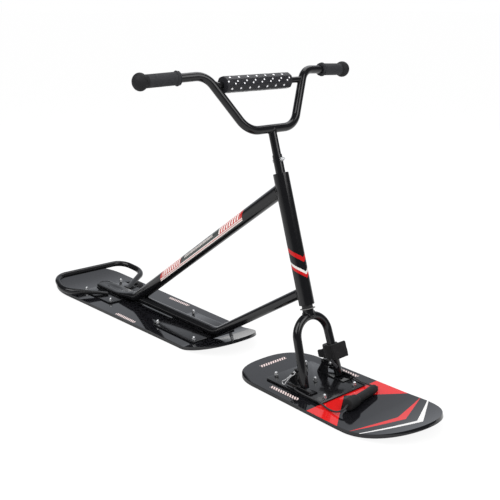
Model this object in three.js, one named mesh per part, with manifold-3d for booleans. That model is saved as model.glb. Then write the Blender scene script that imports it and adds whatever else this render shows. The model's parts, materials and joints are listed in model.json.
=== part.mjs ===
// A snow scooter: two ski boards under a steel tube frame, steered by the front ski.
//
// Lengths are millimetres. +X points forward, +Y to the rider's left and +Z up, and the
// undersides of both boards lie at z = 0. The parts are laid out from the point where the
// steering axis meets the snow, and the finished group is centred on the scooter's length.

import * as THREE from 'three';
import { mergeVertices } from 'three/addons/utils/BufferGeometryUtils.js';
import Module from 'manifold-3d';

const wasm = await Module();
wasm.setup();

const { degToRad } = THREE.MathUtils;

// Clearances, and how far a cutter runs past what it cuts
const seatGap = 0.3;
const runningGap = 0.45;
const cutOverrun = 3;
const weldDistance = 0.0001;

// Facets round each kind of round piece
const frameTubeSides = 20;
const barTubeSides = 14;
const sleeveSides = 24;
const gripSides = 16;
const smallSides = 12;
const fastenerSides = 8;
const ropeSides = 8;
const wireSides = 6;
const bendSteps = 5;

// The steering axis leans back from the vertical by this angle
const rake = degToRad(17.78);

// Boards. A cap is the rounded end in plan, and its exponent sets how square it is.
const boardThickness = 9.5;
const capSteps = 8;
const capSweep = degToRad(83);
const frontSki = {
  nose: 345.3,
  tail: -240.5,
  noseHalfWidth: 133.5,
  tailHalfWidth: 127.5,
  noseCap: 154,
  noseExponent: 2.0,
  tailCap: 114,
  tailExponent: 2.5,
  noseRiseLength: 181,
  noseRise: 34.5,
  tailRiseLength: 114,
  tailRise: 0,
};
const rearBoard = {
  nose: -314,
  tail: -1245,
  noseHalfWidth: 118,
  tailHalfWidth: 131.5,
  noseCap: 140,
  noseExponent: 2.6,
  tailCap: 150,
  tailExponent: 2.8,
  noseRiseLength: 137,
  noseRise: 50,
  tailRiseLength: 150,
  tailRise: 20,
};

// Steel plates that spread the frame's load over the boards
const plateThickness = 4;
const plateCorner = 8;
const plateCornerSegments = 3;
const frontPlate = { rear: -131, front: 69, halfWidth: 86, boltInset: 8, frontBoltInset: 14, boltY: 55.4, middleBoltX: -32.5 };
const rearFrontPlate = { rear: -655, front: -451.5, halfWidth: 82, boltInset: 11, boltY: 69.4 };
const rearRearPlate = { rear: -1077, front: -902, halfWidth: 80, boltInset: 11, boltY: 69.4 };

// Carriage bolts, sunk flush into the undersides, and the dome nuts on the plates
const bolt = { shankRadius: 3, headRadius: 5.6, headThickness: 2.2, headSink: 0.5, nutEngagement: 6 };
const boltHoleRadius = bolt.shankRadius + seatGap + seatGap;
const domeNut = { acrossFlats: 10, hexHeight: 5, domeRadius: 4.6, height: 12, boreDepth: 8 };
const domeRowShares = [[1, 0], [0.86, 0.5], [0.5, 0.87], [0, 1]];

// Head tube and its bushes, by their places along the steering axis
const headTube = { outerRadius: 20.5, innerRadius: 17.3, bottom: 227, length: 346 };
const headTubeTop = headTube.bottom + headTube.length;
const bush = { length: 24, neckRadius: 14.5, neckLength: 8.6, topRecess: 1.2 };
const thrustWasher = { thickness: 1.5 };

// Main frame tubes; each runs from the steering axis down to a bend over the rear board
const upperTube = {
  radius: 19,
  belowTop: 41,
  bendX: -862.788,
  pressedHalfWidth: 27.5,
  pressedHalfHeight: 5.2,
  pressStart: 60,
  pressEnd: 112,
  tailLength: 213,
  bendRadius: 120,
  pressSteps: 10,
  creaseStart: 84,
  creaseEnd: 176,
  creaseDepth: 2.6,
  creaseHalfWidth: 8,
  widthLeadShare: 1.15,
};
const roundExponent = 2;
const pressedExponent = 3.4;
const lowerTube = { radius: 14, aboveBottom: 35.3, bendX: -439.575, bendRadius: 90, spineEnd: -800 };

// Grab loop at the rear, one bent tube welded to the rear plate at both ends
const grabLoop = {
  radius: 9.85,
  endX: -985,
  endY: 50,
  shoulderX: -1061,
  shoulderY: 163,
  shoulderLift: 8,
  backX: -1157,
  backY: 136,
  backLift: 29,
  shoulderBend: 56,
  backBend: 52,
};

// Fork: a steerer in the head tube, a crown collar and an arched tube for the two legs
const steerer = { outerRadius: 12.7, innerRadius: 11.4, aboveHeadTube: 48, belowHeadTube: 27 };
const steererTop = headTubeTop + steerer.aboveHeadTube;
const steererBottom = headTube.bottom - steerer.belowHeadTube;
const crownCollar = { outerRadius: 14.75 };
const fork = {
  tubeRadius: 11.25,
  crownDrop: 3,
  archHalfWidth: 56,
  archHeight: 52,
  footHalfWidth: 63.5,
  archSteps: 12,
  legSteps: 2,
};

// Handlebar and stem: each height is reckoned from the piece below; back is how far behind the axis
const bar = {
  radius: 11.1,
  aboveSteerer: 68,
  lowHalfWidth: 79.8,
  rise: 149,
  topHalfWidth: 168.5,
  topBack: 12.7,
  endHalfWidth: 342,
  endBack: 36.8,
  lowBend: 62,
  topBend: 52,
};
const barLowHeight = steererTop + bar.aboveSteerer;
const barTopHeight = barLowHeight + bar.rise;
const stem = { wall: 2, insertion: 62, boltDrop: 14 };
const stemBoltHeight = steererTop - stem.boltDrop;
const crossbar = { radius: 8, belowTop: 26 };
const crossbarHeight = barTopHeight - crossbar.belowTop;
const pad = { halfLength: 112, acrossFlats: 40, endDraw: 3, endLength: 5 };
const padSides = 8;
const grip = {
  start: 241,
  flangeRadius: 17.9,
  flangeThickness: 5,
  bodyRadius: 16.2,
  ballRadius: 21.8,
  ballThickness: 38,
  end: 364.5,
};
const gripBallRows = 7;

// Front fitting: the legs' feet stand in sheet brackets and are locked by clevis pins
const bracket = {
  sheet: 3,
  floor: 2.5,
  rear: -58,
  front: 30,
  wallHeight: 14,
  wallPlay: 1.6,
  floorInnerY: 48,
  earRear: -76,
  earFront: -37,
  earRadius: 9.5,
};
const clevisPin = { x: -48, z: 50, radius: 3.2, headRadius: 5.5, headThickness: 3, endY: 72 };
const forkLink = { thickness: 4, endRadius: 9, rivetX: -23, rivetZ: 54, play: 1.8 };
const rivet = { radius: 3, headRadius: 5, headHeight: 2.6, grip: 7 };
const rivetHeadShares = [[0, 1], [0.6, 0.8], [1, 0.2]];
const rClip = {
  wireRadius: 1.2,
  y: 68,
  ringRadius: 5,
  ringOpening: degToRad(55),
  ringSteps: 6,
  legLength: 36,
  tipLength: 9,
  hang: degToRad(52),
  lean: degToRad(20),
  holeRadius: 1.9,
  steps: 38,
};
// The waved leg over the pin, in shares of the pin's radius along and of the gap over it
const clipWaveShares = [[-2.6, 0.62], [-1, 0.93], [0, 1.02], [1, 0.93], [2, 0.62]];
const kerbHole = { radius: 2.4 };

// Strap round the left leg: a padded cuff with a flap and a tab, and a hanging end of webbing
const cuff = {
  height: 42,
  bottom: 67,
  wrapHalfLength: 23,
  wrapHalfWidth: 19,
  wrapBack: 6,
  flapThickness: 7,
  flapLength: 42,
  flapFront: 12,
  flapInner: -14,
  flapTurn: degToRad(72),
  tabThickness: 9,
  tabLength: 29,
  tabHeight: 31,
  tabBack: 10,
  tabInner: -8,
  tabTurn: degToRad(205),
};
const webbing = { width: 8, thickness: 1.8, length: 39, slope: degToRad(28.5), x: -12.8, y: 44, z: 60.8 };

// Tow handle lying on the front ski, and the rope that passes through the bracket walls
const towHandle = {
  x: 122.35,
  y: 6.6,
  length: 135.5,
  radius: 11,
  endRadius: 15.5,
  endLength: 36,
  shoulderLength: 9,
  endRound: 3.5,
  turn: degToRad(11.5),
};
const rope = { radius: 2.3, anchorX: -26, anchorZ: 21.5, knotRadius: 4.2, holeRadius: 3.0 };
const ropeSteps = 26;
const knotRows = 6;

// Heights that follow from the stack of board, plate and bracket
const plateBottom = boardThickness + seatGap;
const plateTop = plateBottom + plateThickness;
const onPlate = plateTop + seatGap;
const bracketFloorTop = onPlate + bracket.floor;

// Hand-chosen points of the rope's two free stretches, from the bracket wall to the handle
const ropeRightPoints = [
  [-26, -74, 21.5], [-26, -79, 21.5], [-24.6, -83, 21.3], [-20, -85.2, 20.6], [-11, -85.6, 19.4],
  [2, -85, 18.0], [20, -84.6, 17.1], [44, -84.8, 16.9], [64, -85.6, 16.8], [80, -87, 14.6],
  [98, -89.6, 13.2], [114, -91, 13.8], [127, -90.6, 16.2], [136, -87, 19.6], [140.2, -80, 22.8],
  [139.8, -72.4, 25.4], [137.4, -66, 26.9], [136.1, -60.15, 26.95],
];
const ropeLeftPoints = [
  [-26, 74, 21.5], [-26, 79, 21.5], [-24.4, 83.4, 21.3], [-19, 87.4, 20.4], [-8, 89.8, 19.0],
  [8, 90.6, 17.6], [24, 89, 17.0], [42, 84.6, 16.9], [58, 82.4, 16.8], [70, 84.6, 16.6],
  [80, 88.6, 14.6], [91, 91, 14.4], [100, 90.4, 16.4], [106, 86.2, 19], [107.7, 79.6, 20.8],
  [108.78, 73.4, 20.8],
];

// Finishes
const blackPaint = { color: 0x0d0d0f, roughness: 0.25, metalness: 0.1 };
const glossDeck = { color: 0x17181b, roughness: 0.18, metalness: 0.0 };
const zinc = { color: 0xc4c6c8, roughness: 0.25, metalness: 1.0 };
const springSteel = { color: 0xb9bcc0, roughness: 0.22, metalness: 1.0 };
const gripRubber = { color: 0x1c1d1f, roughness: 0.8, metalness: 0.0 };
const padCloth = { color: 0x16161a, roughness: 0.75, metalness: 0.0 };
const cuffCloth = { color: 0x101012, roughness: 0.9, metalness: 0.0 };
const cordBlack = { color: 0x121214, roughness: 0.85, metalness: 0.0 };
const bushPlastic = { color: 0x0c0c0d, roughness: 0.5, metalness: 0.0 };
const washerPlastic = { color: 0xe6e6e0, roughness: 0.4, metalness: 0.0 };

// Keeps a geometry's triangles only: shared corners merged, slivers dropped, faces outward.
function tidy(geometry) {
  const bare = geometry.index ? geometry.toNonIndexed() : geometry.clone();
  bare.deleteAttribute('normal');
  bare.deleteAttribute('uv');
  bare.clearGroups();
  const merged = mergeVertices(bare, weldDistance);
  const corners = merged.index.array;
  const kept = [];
  for (let i = 0; i < corners.length; i += 3) {
    const [a, b, c] = [corners[i], corners[i + 1], corners[i + 2]];
    if (a !== b && b !== c && c !== a) {
      kept.push(a, b, c);
    }
  }
  merged.setIndex(kept);
  if (signedVolume(merged) < 0) {
    merged.setIndex(kept.reverse());
  }
  return merged;
}

function signedVolume(geometry) {
  const place = geometry.attributes.position;
  const [a, b, c] = [new THREE.Vector3(), new THREE.Vector3(), new THREE.Vector3()];
  let volume = 0;
  for (let i = 0; i < geometry.index.count; i += 3) {
    a.fromBufferAttribute(place, geometry.index.getX(i));
    b.fromBufferAttribute(place, geometry.index.getX(i + 1));
    c.fromBufferAttribute(place, geometry.index.getX(i + 2));
    volume += a.dot(b.cross(c)) / 6;
  }
  return volume;
}

function solid(geometry) {
  const clean = tidy(geometry);
  const mesh = new wasm.Mesh({
    numProp: 3,
    vertProperties: new Float32Array(clean.attributes.position.array),
    triVerts: new Uint32Array(clean.index.array),
  });
  return new wasm.Manifold(mesh);
}

function asGeometry(manifold) {
  const mesh = manifold.getMesh();
  const geometry = new THREE.BufferGeometry();
  geometry.setAttribute('position', new THREE.BufferAttribute(new Float32Array(mesh.vertProperties), 3));
  geometry.setIndex(new THREE.BufferAttribute(new Uint32Array(mesh.triVerts), 1));
  return geometry;
}

function cut(geometry, ...cutters) {
  return asGeometry(cutters.reduce((body, cutter) => body.subtract(solid(cutter)), solid(geometry)));
}

function join(...geometries) {
  const [first, ...others] = geometries.map(solid);
  return asGeometry(others.reduce((body, other) => body.add(other), first));
}

function named(name, geometry, finish) {
  const mesh = new THREE.Mesh(tidy(geometry), new THREE.MeshStandardMaterial({ ...finish, name }));
  mesh.name = name;
  return mesh;
}

function vector(x, y, z) {
  return new THREE.Vector3(x, y, z);
}

function circlePoints(radius, sides, x = 0, y = 0) {
  return Array.from({ length: sides }, (_, i) => {
    const angle = (2 * Math.PI * i) / sides;
    return new THREE.Vector2(x + radius * Math.cos(angle), y + radius * Math.sin(angle));
  });
}

// A solid turned about +Z from a profile of [radius, height] pairs.
function turned(profile, sides) {
  const points = profile.map(([radius, height]) => new THREE.Vector2(radius, height));
  return new THREE.LatheGeometry(points, sides).rotateX(Math.PI / 2);
}

// An open-ended sleeve about +Z.
function sleeve(innerRadius, outerRadius, bottom, top, sides = sleeveSides) {
  const profile = [[innerRadius, bottom], [outerRadius, bottom], [outerRadius, top], [innerRadius, top], [innerRadius, bottom]];
  return turned(profile, sides);
}

// A round rod from one point to another.
function rod(from, to, radius, sides = smallSides) {
  const reach = vector(0, 0, 0).subVectors(to, from);
  const turn = new THREE.Quaternion().setFromUnitVectors(vector(0, 1, 0), reach.clone().normalize());
  const middle = vector(0, 0, 0).addVectors(from, to).multiplyScalar(0.5);
  const geometry = new THREE.CylinderGeometry(radius, radius, reach.length(), sides);
  return geometry.applyQuaternion(turn).translate(middle.x, middle.y, middle.z);
}

// An outline and its holes as plain points, without the doubled points where curves meet.
function plainOutline(outline, curveSegments) {
  const distinct = (points) => points.filter((point, i) => {
    const next = points[(i + 1) % points.length];
    return point.distanceTo(next) > weldDistance;
  });
  const { shape, holes } = outline.extractPoints(curveSegments);
  const plain = new THREE.Shape(distinct(shape));
  plain.holes = holes.map((hole) => new THREE.Path(distinct(hole)));
  return plain;
}

// A flat outline raised by a depth along +Z from a height.
function raised(outline, depth, height, curveSegments = plateCornerSegments) {
  const plain = plainOutline(outline, curveSegments);
  return new THREE.ExtrudeGeometry(plain, { depth, bevelEnabled: false }).translate(0, 0, height);
}

// The same for an outline drawn in x and z, raised along +Y from a place.
function raisedSideways(outline, depth, y, curveSegments = plateCornerSegments) {
  const plain = plainOutline(outline, curveSegments);
  return new THREE.ExtrudeGeometry(plain, { depth, bevelEnabled: false }).rotateX(Math.PI / 2).translate(0, y + depth, 0);
}

// A path with a station at each given point, so a straight run takes a single step.
class StationPath extends THREE.Curve {
  constructor(points, tangents) {
    super();
    this.points = points;
    this.tangents = tangents;
  }

  between(list, t) {
    const place = t * (list.length - 1);
    const first = Math.min(Math.floor(place), list.length - 2);
    return list[first].clone().lerp(list[first + 1], place - first);
  }

  getPoint(t) {
    return this.between(this.points, t);
  }

  getPointAt(t) {
    return this.getPoint(t);
  }

  getTangentAt(t) {
    return this.between(this.tangents, t).normalize();
  }
}

// Straight runs between corners, joined by arcs of the given radii.
function bentPath(corners, radii) {
  const heading = (i) => corners[i + 1].clone().sub(corners[i]).normalize();
  const points = [corners[0].clone()];
  const tangents = [heading(0)];
  for (let i = 1; i < corners.length - 1; i += 1) {
    const incoming = heading(i - 1);
    const outgoing = heading(i);
    const turn = incoming.angleTo(outgoing);
    const radius = radii[i - 1];
    const start = corners[i].clone().addScaledVector(incoming, -radius * Math.tan(turn / 2));
    const inward = outgoing.clone().addScaledVector(incoming, -incoming.dot(outgoing)).normalize();
    for (let step = 0; step <= bendSteps; step += 1) {
      const angle = (turn * step) / bendSteps;
      const along = start.clone().addScaledVector(incoming, radius * Math.sin(angle));
      points.push(along.addScaledVector(inward, radius * (1 - Math.cos(angle))));
      tangents.push(incoming.clone().multiplyScalar(Math.cos(angle)).addScaledVector(inward, Math.sin(angle)));
    }
  }
  points.push(corners[corners.length - 1].clone());
  tangents.push(heading(corners.length - 2));
  return new StationPath(points, tangents);
}

function tubeAlong(path, radius, sides, steps = path.points.length - 1) {
  const section = new THREE.Shape(circlePoints(radius, sides));
  return new THREE.ExtrudeGeometry(section, { steps, extrudePath: path, bevelEnabled: false });
}

// The same corners on the other side of the middle plane, in the opposite order.
function mirroredCorners(corners) {
  return corners.map((corner) => vector(corner.x, -corner.y, corner.z)).reverse();
}

// A group whose +Z lies along the steering axis.
function rakedGroup() {
  const group = new THREE.Group();
  group.rotation.y = -rake;
  return group;
}

// A place on the steering axis, in the scooter's own frame.
function onSteeringAxis(height) {
  return vector(-Math.sin(rake) * height, 0, Math.cos(rake) * height);
}

// Turns a geometry made about the steering axis into the scooter's own frame.
function leaned(geometry) {
  return geometry.rotateY(-rake);
}

// How far a board's underside is above the snow at x, and its slope there.
function boardRise(board, x) {
  const noseShare = Math.max(0, x - (board.nose - board.noseRiseLength)) / board.noseRiseLength;
  const tailShare = Math.max(0, board.tail + board.tailRiseLength - x) / board.tailRiseLength;
  return {
    height: board.noseRise * noseShare ** 2 + board.tailRise * tailShare ** 2,
    slope: (2 * board.noseRise * noseShare) / board.noseRiseLength - (2 * board.tailRise * tailShare) / board.tailRiseLength,
  };
}

// Stations from the tail to the nose, each with its place and half width.
function boardStations(board) {
  const tailCapStart = board.tail + board.tailCap;
  const noseCapStart = board.nose - board.noseCap;
  const widthAt = (x) => {
    const share = THREE.MathUtils.clamp((x - tailCapStart) / (noseCapStart - tailCapStart), 0, 1);
    return THREE.MathUtils.lerp(board.tailHalfWidth, board.noseHalfWidth, share);
  };
  const capStation = (start, cap, exponent, step) => {
    const angle = (capSweep * step) / capSteps;
    const reachShare = (Math.sin(angle) / Math.sin(capSweep)) ** (2 / exponent);
    const x = start + cap * reachShare;
    return { x, halfWidth: widthAt(x) * Math.cos(angle) ** (2 / exponent) };
  };
  const stations = [];
  for (let step = capSteps; step >= 0; step -= 1) {
    stations.push(capStation(tailCapStart, -board.tailCap, board.tailExponent, step));
  }
  const riseStart = board.nose - board.noseRiseLength;
  if (riseStart < noseCapStart) {
    stations.push({ x: riseStart, halfWidth: widthAt(riseStart) });
  }
  for (let step = 0; step <= capSteps; step += 1) {
    stations.push(capStation(noseCapStart, board.noseCap, board.noseExponent, step));
  }
  return stations;
}

// A board is a flat slab whose stations are bent up at the ends and drawn in at the caps.
function boardGeometry(board, boltPlaces) {
  const stations = boardStations(board);
  const spans = stations.length - 1;
  const geometry = new THREE.BoxGeometry(1, 2, 1, spans, 2, 1);
  const place = geometry.attributes.position;
  for (let i = 0; i < place.count; i += 1) {
    const station = stations[Math.round((place.getX(i) + 0.5) * spans)];
    const { height, slope } = boardRise(board, station.x);
    const lean = Math.atan(slope);
    const depth = boardThickness * (place.getZ(i) + 0.5);
    place.setXYZ(
      i,
      station.x - depth * Math.sin(lean),
      place.getY(i) * station.halfWidth,
      height + depth * Math.cos(lean),
    );
  }
  const sinkTop = bolt.headSink + bolt.headThickness + seatGap;
  const cutters = boltPlaces.flatMap(([x, y]) => [
    rod(vector(x, y, -cutOverrun), vector(x, y, boardThickness + cutOverrun), boltHoleRadius, fastenerSides),
    rod(vector(x, y, -cutOverrun), vector(x, y, sinkTop), bolt.headRadius + seatGap, fastenerSides),
  ]);
  return cut(geometry, ...cutters);
}

// Bolt places of a plate: a pair near each end, and a middle one where it has one.
function boltPlaces(plate) {
  const rearX = plate.rear + plate.boltInset;
  const frontX = plate.front - (plate.frontBoltInset ?? plate.boltInset);
  const corners = [rearX, frontX].flatMap((x) => [[x, -plate.boltY], [x, plate.boltY]]);
  return plate.middleBoltX === undefined ? corners : [...corners, [plate.middleBoltX, 0]];
}

function plateGeometry(plate) {
  const outline = new THREE.Shape();
  const { rear, front, halfWidth } = plate;
  outline.absarc(front - plateCorner, -halfWidth + plateCorner, plateCorner, -Math.PI / 2, 0);
  outline.absarc(front - plateCorner, halfWidth - plateCorner, plateCorner, 0, Math.PI / 2);
  outline.absarc(rear + plateCorner, halfWidth - plateCorner, plateCorner, Math.PI / 2, Math.PI);
  outline.absarc(rear + plateCorner, -halfWidth + plateCorner, plateCorner, Math.PI, 1.5 * Math.PI);
  outline.holes = boltPlaces(plate).map(([x, y]) => new THREE.Path(circlePoints(boltHoleRadius, fastenerSides, x, y)));
  return raised(outline, plateThickness, plateBottom);
}

// A bolt from the sunk head in the underside up into its nut.
function carriageBolt() {
  const headBottom = bolt.headSink;
  const headTop = headBottom + bolt.headThickness;
  const top = onPlate + bolt.nutEngagement;
  const profile = [
    [0, headBottom], [bolt.headRadius, headBottom], [bolt.headRadius, headTop],
    [bolt.shankRadius, headTop], [bolt.shankRadius, top], [0, top],
  ];
  return turned(profile, fastenerSides);
}

// A dome nut standing on z = 0.
function domeNutBody() {
  const hexRadius = domeNut.acrossFlats / Math.sqrt(3);
  const hex = rod(vector(0, 0, 0), vector(0, 0, domeNut.hexHeight), hexRadius, 6);
  const domeHeight = domeNut.height - domeNut.hexHeight;
  const dome = [[0, seatGap], [domeNut.domeRadius, seatGap]].concat(
    domeRowShares.map(([across, up]) => [domeNut.domeRadius * across, domeNut.hexHeight + domeHeight * up]),
  );
  return join(hex, turned(dome, fastenerSides));
}

// The same nut off its bolt, with its bore open below.
function looseDomeNut() {
  const bore = rod(vector(0, 0, -cutOverrun), vector(0, 0, domeNut.boreDepth), bolt.shankRadius + seatGap, fastenerSides);
  return cut(domeNutBody(), bore);
}

// Each bolt is drawn up tight in its dome nut, so the two are one body.
function fastenerMeshes(prefix, places) {
  const geometry = join(carriageBolt(), domeNutBody().translate(0, 0, onPlate));
  return places.map(([x, y], i) => {
    const mesh = named(`${prefix}_${i + 1}`, geometry, zinc);
    mesh.position.set(x, y, 0);
    return mesh;
  });
}

// Sections swept along stations; each has a centre, its up direction and its outline.
function sweptSections(sections, sides) {
  const spans = sections.length - 1;
  const geometry = new THREE.CylinderGeometry(1, 1, 1, sides, spans);
  const place = geometry.attributes.position;
  for (let i = 0; i < place.count; i += 1) {
    const section = sections[Math.round((0.5 - place.getY(i)) * spans)];
    const share = Math.hypot(place.getX(i), place.getZ(i));
    const angle = Math.atan2(place.getX(i), place.getZ(i));
    const [across, over] = section.outline(angle);
    const point = section.centre.clone().addScaledVector(section.up, share * over);
    place.setXYZ(i, point.x, share * across, point.z);
  }
  return geometry;
}

// The upper tube: round down its slope, then bent level, pressed flat on the rear plate and
// creased along its middle, where the press has folded the wall in. A swell widens every
// section, which gives the cutter for what is coped against it.
function upperTubeGeometry(swell = 0) {
  const { radius, bendX, bendRadius, pressedHalfWidth, pressedHalfHeight } = upperTube;
  const start = onSteeringAxis(headTubeTop - upperTube.belowTop);
  const levelHeight = onPlate + pressedHalfHeight;
  const slope = Math.atan2(start.z - levelHeight, start.x - bendX);
  const straightLength = (start.z - levelHeight) / Math.sin(slope);
  const setback = bendRadius * Math.tan(slope / 2);
  const superEllipse = (value, exponent) => Math.sign(value) * Math.abs(value) ** (2 / exponent);
  const sectionAt = (travel) => {
    // Travel is measured along the tube from its bend's corner, back to the tip
    const bent = THREE.MathUtils.clamp((travel + setback) / (2 * setback), 0, 1);
    const tilt = slope * (1 - bent);
    const before = Math.min(travel, -setback);
    const after = Math.max(travel, setback);
    const inBend = travel > -setback && travel < setback;
    const dropped = bendRadius * (1 - Math.cos(tilt));
    const along = setback - bendRadius * Math.sin(tilt);
    const x = inBend ? bendX - along : bendX - (travel < 0 ? before * Math.cos(slope) : after);
    const pathHeight = inBend ? levelHeight + dropped : levelHeight - Math.min(0, before) * Math.sin(slope);
    const pressed = THREE.MathUtils.smoothstep(travel, -upperTube.pressStart, upperTube.pressEnd);
    const halfHeight = THREE.MathUtils.lerp(radius, pressedHalfHeight, pressed);
    const halfWidth = THREE.MathUtils.lerp(radius, pressedHalfWidth, Math.min(1, pressed * upperTube.widthLeadShare));
    const exponent = THREE.MathUtils.lerp(roundExponent, pressedExponent, pressed);
    const resting = onPlate + halfHeight * Math.cos(tilt);
    const level = travel >= setback ? levelHeight : pathHeight;
    const creaseShare = THREE.MathUtils.clamp(
      (travel - upperTube.creaseStart) / (upperTube.creaseEnd - upperTube.creaseStart), 0, 1);
    const crease = upperTube.creaseDepth * Math.sin(Math.PI * creaseShare);
    return {
      centre: vector(x, 0, Math.max(level, resting)),
      up: vector(-Math.sin(tilt), 0, Math.cos(tilt)),
      outline: (angle) => {
        const across = (halfWidth + swell) * superEllipse(Math.sin(angle), exponent);
        const over = (halfHeight + swell) * superEllipse(Math.cos(angle), exponent);
        const fold = over > 0 ? crease * Math.exp(-((across / upperTube.creaseHalfWidth) ** 2)) : 0;
        return [across, over - fold];
      },
    };
  };
  const travels = [-straightLength];
  for (let step = 0; step <= upperTube.pressSteps; step += 1) {
    travels.push(THREE.MathUtils.lerp(-upperTube.pressStart, upperTube.pressEnd, step / upperTube.pressSteps));
  }
  const tailSteps = upperTube.pressSteps;
  for (let step = 1; step <= tailSteps; step += 1) {
    travels.push(THREE.MathUtils.lerp(upperTube.pressEnd, upperTube.tailLength, step / tailSteps));
  }
  return sweptSections(travels.map(sectionAt), frameTubeSides);
}

// A cutter round the head tube, for the tubes that are coped against it.
function headTubeCutter() {
  const from = onSteeringAxis(headTube.bottom - upperTube.radius);
  const to = onSteeringAxis(headTubeTop + upperTube.radius);
  return rod(from, to, headTube.outerRadius + seatGap, sleeveSides);
}

// The lower tube runs down to the plates and on along the board as its spine.
function lowerTubeGeometry() {
  const start = onSteeringAxis(headTube.bottom + lowerTube.aboveBottom);
  const spineHeight = onPlate + lowerTube.radius;
  const bend = vector(lowerTube.bendX, 0, spineHeight);
  const corners = [start, bend, vector(lowerTube.spineEnd, 0, spineHeight)];
  const tube = tubeAlong(bentPath(corners, [lowerTube.bendRadius]), lowerTube.radius, frameTubeSides);
  return cut(tube, headTubeCutter(), upperTubeGeometry(seatGap));
}

function grabLoopGeometry() {
  const endHeight = onPlate + grabLoop.radius;
  const half = [
    vector(grabLoop.endX, grabLoop.endY, endHeight),
    vector(grabLoop.shoulderX, grabLoop.shoulderY, endHeight + grabLoop.shoulderLift),
    vector(grabLoop.backX, grabLoop.backY, endHeight + grabLoop.backLift),
  ];
  const { shoulderBend, backBend } = grabLoop;
  const path = bentPath([...half, ...mirroredCorners(half)], [shoulderBend, backBend, backBend, shoulderBend]);
  return tubeAlong(path, grabLoop.radius, barTubeSides);
}

// The rear frame, all of it welded or bolted together.
function rearFrame() {
  const places = [rearFrontPlate, rearRearPlate].flatMap(boltPlaces);
  const group = new THREE.Group();
  group.add(
    named('rear_board', boardGeometry(rearBoard, places), glossDeck),
    named('rear_front_plate', plateGeometry(rearFrontPlate), blackPaint),
    named('rear_rear_plate', plateGeometry(rearRearPlate), blackPaint),
    ...fastenerMeshes('rear_bolt', places),
    named('upper_tube', cut(upperTubeGeometry(), headTubeCutter()), blackPaint),
    named('lower_tube', lowerTubeGeometry(), blackPaint),
    named('grab_loop', grabLoopGeometry(), blackPaint),
  );
  return group;
}

// Head tube with a plastic bush pressed in at each end, in the raked frame.
function headset() {
  const group = rakedGroup();
  const bore = steerer.outerRadius + runningGap;
  const seat = headTube.innerRadius - seatGap;
  const neckTop = headTube.bottom - seatGap;
  const neckBottom = neckTop - bush.neckLength;
  const lowerProfile = [
    [bore, neckBottom], [bush.neckRadius, neckBottom], [bush.neckRadius, headTube.bottom], [seat, headTube.bottom],
    [seat, headTube.bottom + bush.length], [bore, headTube.bottom + bush.length], [bore, neckBottom],
  ];
  const upperTop = headTubeTop - bush.topRecess;
  group.add(
    named('head_tube', sleeve(headTube.innerRadius, headTube.outerRadius, headTube.bottom, headTubeTop), blackPaint),
    named('lower_bush', turned(lowerProfile, sleeveSides), bushPlastic),
    named('upper_bush', sleeve(bore, seat, upperTop - bush.length, upperTop), bushPlastic),
  );
  return group;
}

// Heights under the lower bush: the washer's underside and the crown collar's top.
const washerTop = headTube.bottom - seatGap - bush.neckLength - seatGap;
const washerBottom = washerTop - thrustWasher.thickness;
const collarTop = washerBottom - seatGap;

// The legs stand on the bracket floors; their ends are square to the raked tube.
const footHeight = (bracketFloorTop + seatGap + fork.tubeRadius * Math.sin(rake)) / Math.cos(rake);
const archTop = steererBottom - fork.crownDrop;
const archSpring = archTop - fork.archHeight;

// Half the distance between the legs at a height along the steering axis.
function legHalfSpacing(height) {
  const share = THREE.MathUtils.clamp((archSpring - height) / (archSpring - footHeight), 0, 1);
  return THREE.MathUtils.lerp(fork.archHalfWidth, fork.footHalfWidth, share);
}

// The fork's arch is half an ellipse on top of two legs that splay to the feet.
function forkPath() {
  const points = [];
  for (let step = fork.legSteps; step > 0; step -= 1) {
    const height = THREE.MathUtils.lerp(archSpring, footHeight, step / fork.legSteps);
    points.push(vector(0, -legHalfSpacing(height), height));
  }
  for (let step = 0; step <= fork.archSteps; step += 1) {
    const angle = (Math.PI * step) / fork.archSteps;
    points.push(vector(0, -fork.archHalfWidth * Math.cos(angle), archSpring + fork.archHeight * Math.sin(angle)));
  }
  points.push(...mirroredCorners(points.slice(0, fork.legSteps)));
  const tangents = points.map((_, i) => {
    const before = points[Math.max(0, i - 1)];
    const after = points[Math.min(points.length - 1, i + 1)];
    return after.clone().sub(before).normalize();
  });
  return new StationPath(points, tangents);
}

function archCutter() {
  return tubeAlong(forkPath(), fork.tubeRadius + seatGap, barTubeSides);
}

// A cutter across the steerer and the stem for the bolt that ties them.
function stemBoltCutter() {
  const reach = steerer.outerRadius + cutOverrun;
  return rod(vector(-reach, 0, stemBoltHeight), vector(reach, 0, stemBoltHeight), boltHoleRadius, fastenerSides);
}

function forkGroup() {
  const group = rakedGroup();
  const washerBore = steerer.outerRadius + runningGap;
  const steererTube = sleeve(steerer.innerRadius, steerer.outerRadius, steererBottom, steererTop);
  const collar = sleeve(steerer.outerRadius + seatGap, crownCollar.outerRadius, steererBottom, collarTop);
  group.add(
    named('fork_steerer', cut(steererTube, archCutter(), stemBoltCutter()), blackPaint),
    named('fork_collar', cut(collar, archCutter()), blackPaint),
    named('thrust_washer', sleeve(washerBore, headTube.outerRadius, washerBottom, washerTop), washerPlastic),
  );
  return group;
}

// Points of the handlebar's left half, in the raked frame.
function barCorners() {
  return [
    vector(-bar.endBack, bar.endHalfWidth, barTopHeight),
    vector(-bar.topBack, bar.topHalfWidth, barTopHeight),
    vector(0, bar.lowHalfWidth, barLowHeight),
  ];
}

function barTube(radius) {
  const half = barCorners();
  const radii = [bar.topBend, bar.lowBend, bar.lowBend, bar.topBend];
  return tubeAlong(bentPath([...half, ...mirroredCorners(half)], radii), radius, barTubeSides);
}

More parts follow.
